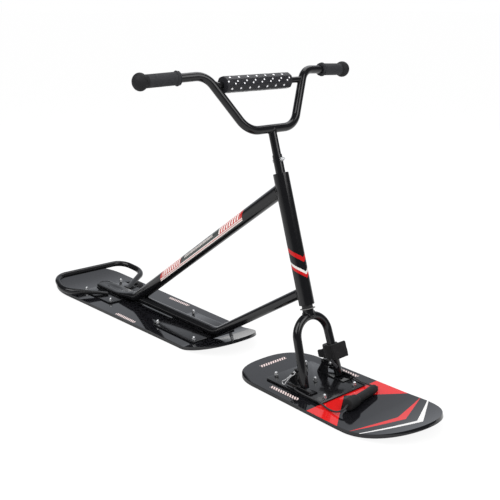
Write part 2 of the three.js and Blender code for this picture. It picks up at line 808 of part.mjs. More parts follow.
// Where the crossbar lies, level with its height on the uprights.
function crossbarPlace() {
  const share = (crossbarHeight - barLowHeight) / (barTopHeight - barLowHeight);
  return {
    back: bar.topBack * share,
    halfWidth: THREE.MathUtils.lerp(bar.lowHalfWidth, bar.topHalfWidth, share),
  };
}

function crossbarGeometry() {
  const { back, halfWidth } = crossbarPlace();
  const end = vector(-back, halfWidth, crossbarHeight);
  const tube = rod(vector(-back, -halfWidth, crossbarHeight), end, crossbar.radius);
  return cut(tube, barTube(bar.radius + seatGap));
}

// A faceted foam pad round the crossbar, drawn in a little at its ends.
function padGeometry() {
  const { back } = crossbarPlace();
  const cornerRadius = pad.acrossFlats / (2 * Math.cos(Math.PI / padSides));
  const bodyHalf = pad.halfLength - pad.endLength;
  const endRadius = cornerRadius - pad.endDraw;
  const profile = [
    [0, -pad.halfLength], [endRadius, -pad.halfLength], [cornerRadius, -bodyHalf],
    [cornerRadius, bodyHalf], [endRadius, pad.halfLength], [0, pad.halfLength],
  ];
  const body = turned(profile, padSides).rotateZ(Math.PI / padSides).rotateX(Math.PI / 2);
  const reach = pad.halfLength + cutOverrun;
  const through = rod(vector(0, -reach, 0), vector(0, reach, 0), crossbar.radius + seatGap);
  return cut(body, through).translate(-back, 0, crossbarHeight);
}

// A rubber grip with an inner flange, a waisted body and a rounded outer end, open inward.
function gripGeometry() {
  const bore = bar.radius + seatGap;
  const ballHalf = grip.ballThickness / 2;
  const bodyStart = grip.start + grip.flangeThickness;
  const boreEnd = bar.endHalfWidth + seatGap + seatGap;
  const neck = Math.asin(grip.bodyRadius / grip.ballRadius);
  const ball = Array.from({ length: gripBallRows + 1 }, (_, row) => {
    const angle = THREE.MathUtils.lerp(Math.PI - neck, 0, row / gripBallRows);
    return [grip.ballRadius * Math.sin(angle), grip.end - ballHalf + ballHalf * Math.cos(angle)];
  });
  const profile = [
    [bore, grip.start], [grip.flangeRadius, grip.start], [grip.flangeRadius, bodyStart],
    [grip.bodyRadius, bodyStart], ...ball, [0, boreEnd], [bore, boreEnd], [bore, grip.start],
  ];
  return turned(profile, gripSides);
}

// Lays a grip along the bar's outer run on one side.
function gripMesh(name, side) {
  const outer = vector(-bar.endBack, bar.endHalfWidth, barTopHeight);
  const inner = vector(-bar.topBack, bar.topHalfWidth, barTopHeight);
  const heading = outer.clone().sub(inner).normalize();
  const mesh = named(name, gripGeometry(), gripRubber);
  outer.y *= side;
  heading.y *= side;
  mesh.quaternion.setFromUnitVectors(vector(0, 0, 1), heading);
  mesh.position.copy(outer).addScaledVector(heading, -bar.endHalfWidth);
  return mesh;
}

function stemGeometry() {
  const bottom = steererTop - stem.insertion;
  const tube = sleeve(bar.radius - stem.wall, bar.radius, bottom, barLowHeight);
  const lowBarReach = bar.lowHalfWidth;
  const lowBar = rod(
    vector(0, -lowBarReach, barLowHeight), vector(0, lowBarReach, barLowHeight), bar.radius + seatGap, barTubeSides);
  return cut(tube, lowBar, stemBoltCutter());
}

// The stem's bolt lies fore and aft, its nut in front.
function stemBoltGeometry() {
  const seat = steerer.outerRadius + seatGap;
  const profile = [
    [0, -seat - bolt.headThickness], [bolt.headRadius, -seat - bolt.headThickness], [bolt.headRadius, -seat],
    [bolt.shankRadius, -seat], [bolt.shankRadius, seat + bolt.nutEngagement], [0, seat + bolt.nutEngagement],
  ];
  return turned(profile, fastenerSides).rotateY(Math.PI / 2).translate(0, 0, stemBoltHeight);
}

function handlebarGroup() {
  const group = rakedGroup();
  const nutSeat = steerer.outerRadius + seatGap;
  const stemNut = looseDomeNut().rotateY(Math.PI / 2).translate(nutSeat, 0, stemBoltHeight);
  group.add(
    named('handlebar', barTube(bar.radius), blackPaint),
    named('crossbar', crossbarGeometry(), blackPaint),
    named('crossbar_pad', padGeometry(), padCloth),
    named('stem_tube', stemGeometry(), blackPaint),
    named('stem_bolt', stemBoltGeometry(), zinc),
    named('stem_dome_nut', stemNut, zinc),
    gripMesh('grip_right', -1),
    gripMesh('grip_left', 1),
  );
  return group;
}

// Places across the front fitting, on the left side; the right side mirrors them.
const legOuterY = fork.footHalfWidth + fork.tubeRadius;
const linkOuterY = legHalfSpacing(forkLink.rivetZ / Math.cos(rake)) - fork.tubeRadius - seatGap;
const linkInnerY = linkOuterY - forkLink.thickness;
const earInnerY = linkOuterY + forkLink.play;
const earOuterY = earInnerY + bracket.sheet;
const wallInnerY = legOuterY + bracket.wallPlay;
const wallOuterY = wallInnerY + bracket.sheet;

// A stadium round two points in x and z, with a round hole at each.
function linkOutline(first, second, endRadius, firstHole, secondHole) {
  const heading = Math.atan2(second[1] - first[1], second[0] - first[0]);
  const outline = new THREE.Shape();
  outline.absarc(first[0], first[1], endRadius, heading + Math.PI / 2, heading + 1.5 * Math.PI);
  outline.absarc(second[0], second[1], endRadius, heading - Math.PI / 2, heading + Math.PI / 2);
  outline.holes = [
    new THREE.Path(circlePoints(firstHole, smallSides, ...first)),
    new THREE.Path(circlePoints(secondHole, smallSides, ...second)),
  ];
  return outline;
}

function forkLinkGeometry() {
  const outline = linkOutline(
    [clevisPin.x, clevisPin.z], [forkLink.rivetX, forkLink.rivetZ], forkLink.endRadius,
    clevisPin.radius + seatGap, rivet.radius + seatGap);
  return raisedSideways(outline, forkLink.thickness, linkInnerY);
}

// The bracket's floor, its outer wall and its ear, folded from one sheet.
function bracketGeometry() {
  const wallTop = onPlate + bracket.wallHeight;
  const noseRadius = bracket.wallHeight / 2;
  const noseX = bracket.front - noseRadius;
  const wall = new THREE.Shape();
  wall.moveTo(bracket.rear, onPlate);
  wall.absarc(noseX, onPlate + noseRadius, noseRadius, -Math.PI / 2, Math.PI / 2);
  wall.lineTo(bracket.rear + noseRadius, wallTop);
  wall.lineTo(bracket.rear, wallTop - noseRadius);
  wall.holes = [
    new THREE.Path(circlePoints(rope.holeRadius, smallSides, rope.anchorX, rope.anchorZ)),
    new THREE.Path(circlePoints(kerbHole.radius, fastenerSides, noseX, onPlate + noseRadius)),
  ];
  const ear = new THREE.Shape();
  const shoulder = bracket.earRadius * Math.cos(Math.PI / 6);
  ear.moveTo(bracket.earRear, onPlate);
  ear.lineTo(bracket.earFront, onPlate);
  ear.lineTo(clevisPin.x + bracket.earRadius, clevisPin.z);
  ear.absarc(clevisPin.x, clevisPin.z, bracket.earRadius, 0, Math.PI * (5 / 6));
  ear.lineTo(clevisPin.x - shoulder, clevisPin.z);
  ear.holes = [new THREE.Path(circlePoints(clevisPin.radius + seatGap, smallSides, clevisPin.x, clevisPin.z))];
  const floor = new THREE.Shape([
    new THREE.Vector2(bracket.rear, bracket.floorInnerY), new THREE.Vector2(noseX, bracket.floorInnerY),
    new THREE.Vector2(noseX, wallOuterY), new THREE.Vector2(bracket.rear, wallOuterY),
  ]);
  return join(
    raised(floor, bracket.floor, onPlate),
    raisedSideways(wall, bracket.sheet, wallInnerY),
    raisedSideways(ear, bracket.sheet, earInnerY),
  );
}

// A clevis pin along +Y, its head inward, drilled near its outer end for the clip.
function clevisPinGeometry() {
  const headOuter = linkInnerY - seatGap;
  const profile = [
    [0, headOuter - clevisPin.headThickness], [clevisPin.headRadius, headOuter - clevisPin.headThickness],
    [clevisPin.headRadius, headOuter], [clevisPin.radius, headOuter], [clevisPin.radius, clevisPin.endY], [0, clevisPin.endY],
  ];
  const pin = turned(profile, smallSides).rotateX(-Math.PI / 2);
  const drillReach = clevisPin.radius + cutOverrun;
  const drill = rod(vector(-drillReach, 0, 0), vector(drillReach, 0, 0), rClip.holeRadius, fastenerSides);
  const placedDrill = placeClip(drill);
  return cut(pin.translate(clevisPin.x, 0, clevisPin.z), placedDrill);
}

// Takes a geometry from the clip's own frame, with its straight leg along +X through the
// pin, to its place on the left side, where it hangs down and back and leans outward.
function placeClip(geometry) {
  return geometry
    .rotateZ(-rClip.lean)
    .rotateY(-rClip.hang)
    .translate(clevisPin.x, rClip.y, clevisPin.z);
}

// The clip is one wire: a straight leg through the pin, a ring and a waved leg over the pin.
function rClipGeometry() {
  const { wireRadius, ringRadius, legLength, tipLength } = rClip;
  const over = -(clevisPin.radius + seatGap + wireRadius);
  const ringX = -legLength;
  const ringMiddle = over / 2;
  const ringTurn = 2 * (Math.PI - rClip.ringOpening);
  const ring = Array.from({ length: rClip.ringSteps + 1 }, (_, i) => {
    const angle = rClip.ringOpening + (ringTurn * i) / rClip.ringSteps;
    return [ringX + ringRadius * Math.cos(angle), ringMiddle + ringRadius * Math.sin(angle)];
  });
  const neck = ringX + ringRadius * 2;
  const wave = clipWaveShares.map(([along, up]) => [clevisPin.radius * along, over * up]);
  const shape = [[tipLength, 0], [0, 0], [neck, 0], ...ring, [neck, over], ...wave, [tipLength, over]];
  const path = new THREE.CatmullRomCurve3(shape.map(([x, z]) => vector(x, 0, z)), false, 'centripetal');
  return placeClip(tubeAlong(path, wireRadius, wireSides, rClip.steps));
}

// A domed rivet along +Y through the link and into the leg, its head inward.
function rivetGeometry() {
  const headOuter = linkInnerY - seatGap;
  const profile = [
    ...rivetHeadShares.map(([across, up]) => [rivet.headRadius * across, headOuter - rivet.headHeight * up]),
    [rivet.headRadius, headOuter], [rivet.radius, headOuter],
    [rivet.radius, linkOuterY + rivet.grip], [0, linkOuterY + rivet.grip],
  ];
  return turned(profile, smallSides).rotateX(-Math.PI / 2).translate(forkLink.rivetX, 0, forkLink.rivetZ);
}

function rivetCutter(side) {
  const from = vector(forkLink.rivetX, side * linkInnerY, forkLink.rivetZ);
  const to = vector(forkLink.rivetX, side * (linkOuterY + rivet.grip + seatGap), forkLink.rivetZ);
  return rod(from, to, rivet.radius + seatGap, smallSides);
}

// The same piece on the other side of the middle plane.
function mirrored(geometry) {
  return geometry.clone().scale(1, -1, 1);
}

function frontSkiGroup() {
  const group = new THREE.Group();
  const places = boltPlaces(frontPlate);
  const legs = cut(leaned(tubeAlong(forkPath(), fork.tubeRadius, barTubeSides)), rivetCutter(-1), rivetCutter(1));
  const pairs = [
    ['socket_bracket', bracketGeometry(), blackPaint],
    ['fork_link', forkLinkGeometry(), blackPaint],
    ['link_rivet', rivetGeometry(), zinc],
    ['clevis_pin', clevisPinGeometry(), blackPaint],
    ['r_clip', rClipGeometry(), springSteel],
  ];
  group.add(
    named('fork_legs', legs, blackPaint),
    named('front_ski', boardGeometry(frontSki, places), glossDeck),
    named('front_base_plate', plateGeometry(frontPlate), blackPaint),
    ...fastenerMeshes('front_bolt', places),
    ...pairs.flatMap(([name, geometry, finish]) => [
      named(`${name}_right`, mirrored(geometry), finish),
      named(`${name}_left`, geometry, finish),
    ]),
  );
  return group;
}

// A strip standing on edge, from a start in plan along a heading.
function strip(startX, startY, heading, length, thickness, bottom, height) {
  const box = new THREE.BoxGeometry(length, thickness, height);
  return box.translate(length / 2, 0, bottom + height / 2).rotateZ(heading).translate(startX, startY, 0);
}

// The padded cuff is wrapped round the left leg, its flap lying outward across the front
// and the end of its inner ply standing out behind. It sits on the links' upper edges.
function cuffGeometry() {
  const half = cuff.height / 2;
  const middle = cuff.bottom + half;
  const splay = Math.atan((fork.footHalfWidth - fork.archHalfWidth) / (archSpring - footHeight));
  const outline = new THREE.Shape();
  outline.absellipse(-cuff.wrapBack, 0, cuff.wrapHalfLength, cuff.wrapHalfWidth, 0, 2 * Math.PI);
  const body = join(
    raised(outline, cuff.height, -half, smallSides),
    strip(cuff.flapFront, cuff.flapInner, cuff.flapTurn, cuff.flapLength, cuff.flapThickness, -half, cuff.height),
    strip(-cuff.tabBack, cuff.tabInner, cuff.tabTurn, cuff.tabLength, cuff.tabThickness, -half, cuff.tabHeight),
  );
  const reach = half + cutOverrun;
  const leg = rod(vector(0, 0, -reach), vector(0, 0, reach), fork.tubeRadius + seatGap + seatGap, frameTubeSides);
  const wrapped = cut(body, leg).rotateX(splay).translate(0, legHalfSpacing(middle), middle);
  const trimTop = forkLink.rivetZ + forkLink.endRadius + seatGap;
  const trimReach = 2 * (legOuterY + cuff.flapLength);
  const trim = new THREE.BoxGeometry(trimReach, trimReach, trimTop).translate(0, 0, trimTop / 2);
  return cut(leaned(wrapped), trim, webbingGeometry(seatGap));
}

// The webbing is sewn into the cuff and hangs slanting across the leg's inner side. A swell
// widens it, which gives the cutter for its pocket in the cuff.
function webbingGeometry(swell = 0) {
  const { length, thickness, width, slope } = webbing;
  const strap = new THREE.BoxGeometry(length + 2 * swell, thickness + 2 * swell, width + 2 * swell);
  return strap.rotateY(slope).translate(webbing.x, webbing.y, webbing.z);
}

function leashGroup() {
  const group = new THREE.Group();
  group.add(named('leash_cuff', cuffGeometry(), cuffCloth), named('leash_webbing', webbingGeometry(), cuffCloth));
  return group;
}

function ropeMesh(name, points, side) {
  const curve = new THREE.CatmullRomCurve3(points.map(([x, y, z]) => vector(x, y, z)), false, 'centripetal');
  const tube = tubeAlong(curve, rope.radius, ropeSides, ropeSteps);
  const knotY = side * (wallInnerY - seatGap - rope.knotRadius);
  const knot = new THREE.SphereGeometry(rope.knotRadius, fastenerSides, knotRows).translate(rope.anchorX, knotY, rope.anchorZ);
  return named(name, join(tube, knot), cordBlack);
}

// The handle is thicker at its right end, and lies on the ski a little tilted.
function towHandleMesh() {
  const half = towHandle.length / 2;
  const { radius, endRadius, endLength, shoulderLength, endRound } = towHandle;
  const profile = [
    [0, -half], [endRadius - endRound, -half], [endRadius, -half + endRound], [endRadius, -half + endLength],
    [radius, -half + endLength + shoulderLength], [radius, half - endRound], [radius - endRound, half], [0, half],
  ];
  const tilt = Math.asin((endRadius - radius) / (towHandle.length - endLength));
  const body = turned(profile, gripSides).rotateX(-Math.PI / 2);
  const handle = named('tow_handle', body, gripRubber);
  const middleHeight = boardThickness + seatGap + radius / Math.cos(tilt) + half * Math.sin(tilt);
  handle.position.set(towHandle.x, towHandle.y, middleHeight);
  handle.rotation.set(-tilt, 0, towHandle.turn, 'ZYX');
  return handle;
}

function towGroup() {
  const group = new THREE.Group();
  group.add(
    towHandleMesh(),
    ropeMesh('tow_rope_right', ropeRightPoints, -1),
    ropeMesh('tow_rope_left', ropeLeftPoints, 1),
  );
  return group;
}

const snowScooter = new THREE.Group();
snowScooter.add(rearFrame(), headset(), forkGroup(), handlebarGroup(), frontSkiGroup(), leashGroup(), towGroup());
snowScooter.position.x = -(frontSki.nose + rearBoard.tail) / 2;

export default snowScooter;
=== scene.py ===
"""Looks of the snow scooter: smooth pieces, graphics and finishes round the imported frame.

Sizes are millimetres in the layout that the solids use, with x = 0 where the steering
axis meets the snow. The helpers place() and raked() turn them into metres in the frame.
"""

import json
import logging
import math
from collections.abc import Iterator
from contextlib import contextmanager
from dataclasses import dataclass, field
from enum import Enum

import bmesh
import bpy
from mathutils import Matrix, Vector, geometry

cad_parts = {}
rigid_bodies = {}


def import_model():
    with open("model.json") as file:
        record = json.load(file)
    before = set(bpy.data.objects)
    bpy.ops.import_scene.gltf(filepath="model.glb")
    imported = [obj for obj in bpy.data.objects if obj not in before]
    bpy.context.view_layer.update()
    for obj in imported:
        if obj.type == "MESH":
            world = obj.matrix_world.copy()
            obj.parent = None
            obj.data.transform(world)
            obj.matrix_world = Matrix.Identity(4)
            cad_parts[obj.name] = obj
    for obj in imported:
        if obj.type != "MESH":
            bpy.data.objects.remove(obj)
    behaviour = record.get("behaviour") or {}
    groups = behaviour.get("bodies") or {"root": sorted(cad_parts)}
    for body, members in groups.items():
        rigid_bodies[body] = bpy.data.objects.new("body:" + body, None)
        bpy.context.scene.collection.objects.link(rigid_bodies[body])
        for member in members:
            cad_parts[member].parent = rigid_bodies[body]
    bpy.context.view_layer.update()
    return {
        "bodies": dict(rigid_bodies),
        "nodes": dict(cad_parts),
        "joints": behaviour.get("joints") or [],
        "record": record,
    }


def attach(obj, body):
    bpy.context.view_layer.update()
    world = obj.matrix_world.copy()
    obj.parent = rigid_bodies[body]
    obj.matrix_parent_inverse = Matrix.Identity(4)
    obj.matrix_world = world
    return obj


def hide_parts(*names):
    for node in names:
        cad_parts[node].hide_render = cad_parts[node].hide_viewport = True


LOG = logging.getLogger("snow_scooter")

MM = 0.001
AXIS_FOOT = 449.85
RAKE = math.radians(17.78)
TUBE_SIDES = 40
LATHE_STEPS = 48
BOLT_STEPS = 24
EDGES_FROM = 35.0
GAP = 0.3
BOARD_TOP = 9.5
PLATE_BOTTOM = BOARD_TOP + GAP
PLATE_TOP = PLATE_BOTTOM + 4.0
ON_PLATE = PLATE_TOP + GAP
LOOKED_AT = 0.35

MIX_COLOURS = (6, 7)
MIX_RESULT = 2

Point = tuple[float, float, float]
Span = tuple[float, float]


class Side(Enum):
    """The rider's right and left; the value is the sign of Y."""

    RIGHT = -1
    LEFT = 1

    @property
    def word(self) -> str:
        """The side's name as the solids write it."""
        return self.name.lower()


def share_between(value: float, start: float, end: float) -> float:
    """Gives how far a value lies from a start to an end, held from 0 to 1."""
    return min(max((value - start) / (end - start), 0.0), 1.0)


def eased(share: float) -> float:
    """Softens a share's start and end."""
    return share * share * (3 - 2 * share)


def place(x: float, y: float, z: float) -> Vector:
    """Turns a layout place in millimetres into the frame's metres."""
    return Vector(((x + AXIS_FOOT) * MM, y * MM, z * MM))


def raked(forward: float, side: float, along: float) -> Vector:
    """Turns a place measured along and across the steering axis into the frame's metres."""
    x = forward * math.cos(RAKE) - along * math.sin(RAKE)
    z = forward * math.sin(RAKE) + along * math.cos(RAKE)
    return place(x, side, z)


def axis_frame(origin: Vector, along: Vector) -> Matrix:
    """Makes the placement whose +Z runs along a direction from an origin."""
    turn = along.normalized().to_track_quat("Z", "Y").to_matrix().to_4x4()
    return Matrix.Translation(origin) @ turn


def steering_frame() -> Matrix:
    """Makes the placement whose +Z is the steering axis and whose +X points forward."""
    turn = Matrix.Rotation(-RAKE, 4, "Y")
    return Matrix.Translation(place(0, 0, 0)) @ turn


# Modelling helpers


def clear_selection() -> None:
    """Leaves object mode free of any selection."""
    bpy.ops.object.select_all(action="DESELECT")


def select_only(piece: bpy.types.Object) -> None:
    """Selects one object and makes it active."""
    clear_selection()
    piece.select_set(True)
    bpy.context.view_layer.objects.active = piece


def take(name: str) -> bpy.types.Object:
    """Names the object that an operator has just added."""
    piece = bpy.context.active_object
    piece.name = name
    piece.data.name = name
    return piece


def copied(name: str, node: bpy.types.Object) -> bpy.types.Object:
    """Copies an object with its mesh and links the copy into the scene."""
    piece = bpy.data.objects.new(name, node.data.copy())
    bpy.context.scene.collection.objects.link(piece)
    return piece


def mirrored(points: list[Vector]) -> list[Vector]:
    """Mirrors points about the middle plane, in reverse order."""
    return [Vector((p.x, -p.y, p.z)) for p in reversed(points)]


@contextmanager
def editing() -> Iterator[None]:
    """Opens the active mesh with all of it selected, and closes it again."""
    bpy.ops.object.mode_set(mode="EDIT")
    bpy.ops.mesh.select_all(action="SELECT")
    yield
    bpy.ops.object.mode_set(mode="OBJECT")


def settle(piece: bpy.types.Object, frame: Matrix) -> None:
    """Moves a piece by a placement and applies it, so the object stays at the origin."""
    select_only(piece)
    piece.matrix_world = frame @ piece.matrix_world
    bpy.ops.object.transform_apply(location=True, rotation=True, scale=True)


def face_outward(piece: bpy.types.Object, merge: float = 1e-7) -> None:
    """Merges doubled corners and turns every face outward.

    Args:
        piece: The mesh to mend.
        merge: Corners closer than this become one, in metres.
    """
    select_only(piece)
    with editing():
        bpy.ops.mesh.remove_doubles(threshold=merge)
        bpy.ops.mesh.normals_make_consistent(inside=False)


def smooth(piece: bpy.types.Object, degrees: float = 40.0) -> None:
    """Shades a piece smooth except across edges sharper than an angle."""
    select_only(piece)
    bpy.ops.object.shade_smooth_by_angle(angle=math.radians(degrees))


def modify(piece: bpy.types.Object, kind: str, **settings: object) -> None:
    """Adds a modifier with its settings and applies it.

    Args:
        piece: The mesh to change.
        kind: The modifier's type.
        **settings: Its settings by name.
    """
    select_only(piece)
    bpy.ops.object.modifier_add(type=kind)
    modifier = piece.modifiers[-1]
    for name, value in settings.items():
        setattr(modifier, name, value)
    bpy.ops.object.modifier_apply(modifier=modifier.name)


def round_edges(
    piece: bpy.types.Object, width: float, segments: int = 2, degrees: float = EDGES_FROM
) -> None:
    """Rounds the sharp edges of a piece.

    Args:
        piece: The mesh to change.
        width: How wide the rounding is, in millimetres.
        segments: How many faces it has.
        degrees: Edges sharper than this are rounded.
    """
    modify(
        piece,
        "BEVEL",
        width=width * MM,
        segments=segments,
        limit_method="ANGLE",
        angle_limit=math.radians(degrees),
    )
    smooth(piece)


def join_pieces(name: str, pieces: list[bpy.types.Object]) -> bpy.types.Object:
    """Joins pieces into the first one and names it."""
    clear_selection()
    for piece in pieces:
        piece.select_set(True)
    bpy.context.view_layer.objects.active = pieces[0]
    bpy.ops.object.join()
    return take(name)


def lathe(name: str, profile: list[Span], frame: Matrix, steps: int = LATHE_STEPS) -> bpy.types.Object:
    """Spins a profile about +Z and lays it in a placement.

    Args:
        name: The piece's name.
        profile: Radius and height pairs in millimetres, from one end of the line to the other.
        frame: Where the piece goes.
        steps: Faces round the axis.

    Returns:
        The closed, smooth-shaded piece.
    """
    clear_selection()
    bpy.ops.mesh.primitive_plane_add(size=MM)
    piece = take(name)
    with editing():
        bpy.ops.mesh.merge(type="CENTER")
        bpy.ops.mesh.select_all(action="SELECT")
        spots = [Vector((radius * MM, 0.0, height * MM)) for radius, height in profile]
        bpy.ops.transform.translate(value=spots[0])
        for here, there in zip(spots, spots[1:]):
            bpy.ops.mesh.extrude_vertices_move(TRANSFORM_OT_translate={"value": there - here})
        bpy.ops.mesh.select_all(action="SELECT")
        bpy.ops.mesh.spin(steps=steps, angle=2 * math.pi, center=(0, 0, 0), axis=(0, 0, 1))
    face_outward(piece, merge=1e-6)
    settle(piece, frame)
    smooth(piece, 32)
    return piece


def loft(name: str, rings: list[list[Vector]], round_length: float = 0.0) -> bpy.types.Object:
    """Extrudes a closed outline from ring to ring, with a map measured in metres.

    Args:
        name: The piece's name.
        rings: The outlines, each with the same number of points.
        round_length: The length round an outline for the map, in metres.

    Returns:
        The closed piece.
    """
    count = len(rings[0])
    clear_selection()
    bpy.ops.mesh.primitive_circle_add(vertices=count, radius=1, fill_type="NGON")
    piece = take(name)
    for vertex, point in zip(piece.data.vertices, rings[0]):
        vertex.co = point
    bpy.ops.object.mode_set(mode="EDIT")
    bpy.ops.mesh.select_all(action="SELECT")
    shell = bmesh.from_edit_mesh(piece.data)
    slots = {tuple(vertex.co): i for i, vertex in enumerate(shell.verts)}
    travel = 0.0
    labels = {corner: (travel, i) for corner, i in slots.items()}
    for before, ring in zip(rings, rings[1:]):
        travel += (sum(ring, Vector()) / count - sum(before, Vector()) / count).length
        bpy.ops.mesh.extrude_region_move()
        shell = bmesh.from_edit_mesh(piece.data)
        fresh = {}
        for vertex in [v for v in shell.verts if v.select]:
            i = slots[tuple(vertex.co)]
            vertex.co = ring[i]
            fresh[tuple(vertex.co)] = i
            labels[tuple(vertex.co)] = (travel, i)
        slots = fresh
        bmesh.update_edit_mesh(piece.data)
    bpy.ops.mesh.select_all(action="SELECT")
    bpy.ops.mesh.normals_make_consistent(inside=False)
    bpy.ops.object.mode_set(mode="OBJECT")
    layer = piece.data.uv_layers.active or piece.data.uv_layers.new(name="UVMap")
    for polygon in piece.data.polygons:
        spots = [labels.get(tuple(piece.data.vertices[v].co), (0.0, 0)) for v in polygon.vertices]
        wraps = len(spots) == 4 and max(s[1] for s in spots) - min(s[1] for s in spots) > count / 2
        for loop, (along, i) in zip(polygon.loop_indices, spots):
            turn = i + count if wraps and i < count / 2 else i
            layer.data[loop].uv = (round_length * turn / count, along)
    return piece


@dataclass
class Line:
    """The stations of a line and the direction of travel at each."""

    points: list[Vector]
    headings: list[Vector]


def bent_line(corners: list[Vector], radii: list[float], steps: int = 12) -> Line:
    """Joins straight runs between corners by arcs.

    Args:
        corners: The line's ends and the corners between them.
        radii: The arcs' radii in millimetres, one for each corner between the ends.
        steps: Stations along an arc.

    Returns:
        The line.
    """
    heading = [(b - a).normalized() for a, b in zip(corners, corners[1:])]
    line = Line([corners[0].copy()], [heading[0]])
    for i, radius in enumerate(radii):
        incoming, outgoing = heading[i], heading[i + 1]
        turn = incoming.angle(outgoing)
        reach = radius * MM
        start = corners[i + 1] - incoming * (reach * math.tan(turn / 2))
        inward = (outgoing - incoming * incoming.dot(outgoing)).normalized()
        for step in range(steps + 1):
            angle = turn * step / steps
            sideways = inward * (reach * (1 - math.cos(angle)))
            line.points.append(start + incoming * (reach * math.sin(angle)) + sideways)
            line.headings.append(incoming * math.cos(angle) + inward * math.sin(angle))
    line.points.append(corners[-1].copy())
    line.headings.append(heading[-1])
    return line


def line_through(points: list[Vector]) -> Line:
    """Makes the line that runs straight from point to point."""
    last = len(points) - 1
    return Line(
        points,
        [(points[min(i + 1, last)] - points[max(i - 1, 0)]).normalized() for i in range(last + 1)],
    )


def tube_rings(line: Line, radius: float, sides: int = TUBE_SIDES) -> list[list[Vector]]:
    """Lays round outlines across a line, without twist.

    Args:
        line: The line, with its stations and the direction at each.
        radius: The tube's radius in millimetres.
        sides: Points round an outline.

    Returns:
        One ring a station.
    """
    across = line.headings[0].orthogonal().normalized()
    rings = []
    for point, heading in zip(line.points, line.headings):
        across = (across - heading * across.dot(heading)).normalized()
        other = heading.cross(across)
        ring = []
        for i in range(sides):
            angle = 2 * math.pi * i / sides
            ring.append(point + (across * math.cos(angle) + other * math.sin(angle)) * (radius * MM))
        rings.append(ring)
    return rings


def tube(name: str, line: Line, radius: float, sides: int = TUBE_SIDES, soft: float = 45) -> bpy.types.Object:
    """Makes a bent round tube, shaded smooth except across edges sharper than soft degrees."""
    piece = loft(name, tube_rings(line, radius, sides), 2 * math.pi * radius * MM)
    smooth(piece, soft)
    return piece


def rounded_line(points: list[Vector], resolution: int = 6) -> list[Vector]:
    """Runs a smooth curve through given points."""
    line: list[Vector] = []
    last = len(points) - 1
    for i in range(last):
        before, here = points[max(i - 1, 0)], points[i]
        there, after = points[i + 1], points[min(i + 2, last)]
        chord = (there - here).length
        lead = (there - before).normalized() * chord / 3
        trail = (after - here).normalized() * chord / 3
        part = geometry.interpolate_bezier(here, here + lead, there - trail, there, resolution + 1)
        line.extend(part if i == last - 1 else part[:-1])
    return line


def bead(name: str, line: list[Vector], radius: float, ripple: float = 0.22) -> bpy.types.Object:
    """Lays a weld bead along a closed line, rippled like a run of weld.

    Args:
        name: The piece's name.
        line: The closed line's points.
        radius: The bead's radius in millimetres.
        ripple: How much the ripples swell it, as a share.

    Returns:
        The bead as a mesh.
    """
    clear_selection()
    bpy.ops.curve.primitive_bezier_circle_add(radius=MM)
    piece = take(name)
    curve = piece.data
    curve.splines.clear()
    spline = curve.splines.new("POLY")
    spline.points.add(len(line) - 1)
    for i, (knot, point) in enumerate(zip(spline.points, line)):
        knot.co = (*point, 1.0)
        knot.radius = 1.0 + ripple * math.sin(2.1 * i)
    spline.use_cyclic_u = True
    curve.bevel_depth = radius * MM
    curve.bevel_resolution = 2
    select_only(piece)
    bpy.ops.object.convert(target="MESH")
    piece = take(name)
    face_outward(piece)
    smooth(piece, 60)
    return piece


def cope_line(
    origin: Vector, along: Vector, radius: float, foot: Vector, axis: Vector, wall: float
) -> list[Vector]:
    """Finds where a round tube's skin meets a round wall.

    Args:
        origin: A point of the tube's centreline inside the wall.
        along: The tube's direction, away from the wall.
        radius: The tube's radius in millimetres.
        foot: A point of the wall's axis.
        axis: The wall's axis.
        wall: The wall's radius in millimetres.

    Returns:
        The closed line where they meet.
    """
    along, axis = along.normalized(), axis.normalized()
    first = along.orthogonal().normalized()
    second = along.cross(first)
    slant = along - axis * along.dot(axis)
    line = []
    for i in range(72):
        angle = 2 * math.pi * i / 72
        start = origin + (first * math.cos(angle) + second * math.sin(angle)) * (radius * MM)
        offset = (start - foot) - axis * (start - foot).dot(axis)
        a, b, c = slant.dot(slant), 2 * slant.dot(offset), offset.dot(offset) - (wall * MM) ** 2
        root = max(b * b - 4 * a * c, 0.0)
        line.append(start + along * ((-b + math.sqrt(root)) / (2 * a)))
    return line


def refined(name: str, node: bpy.types.Object, rounding: float) -> bpy.types.Object:
    """Copies a solid with its corners merged, its flats made whole and its edges rounded.

    Args:
        name: The new piece's name.
        node: The solid to copy.
        rounding: The width of the rounded edges in millimetres.

    Returns:
        The new piece.
    """
    select_only(copied(name, node))
    with editing():
        bpy.ops.mesh.remove_doubles(threshold=1e-6)
        bpy.ops.mesh.dissolve_limited(angle_limit=math.radians(1.0))
    piece = take(name)
    round_edges(piece, rounding)
    return piece


# Finishes


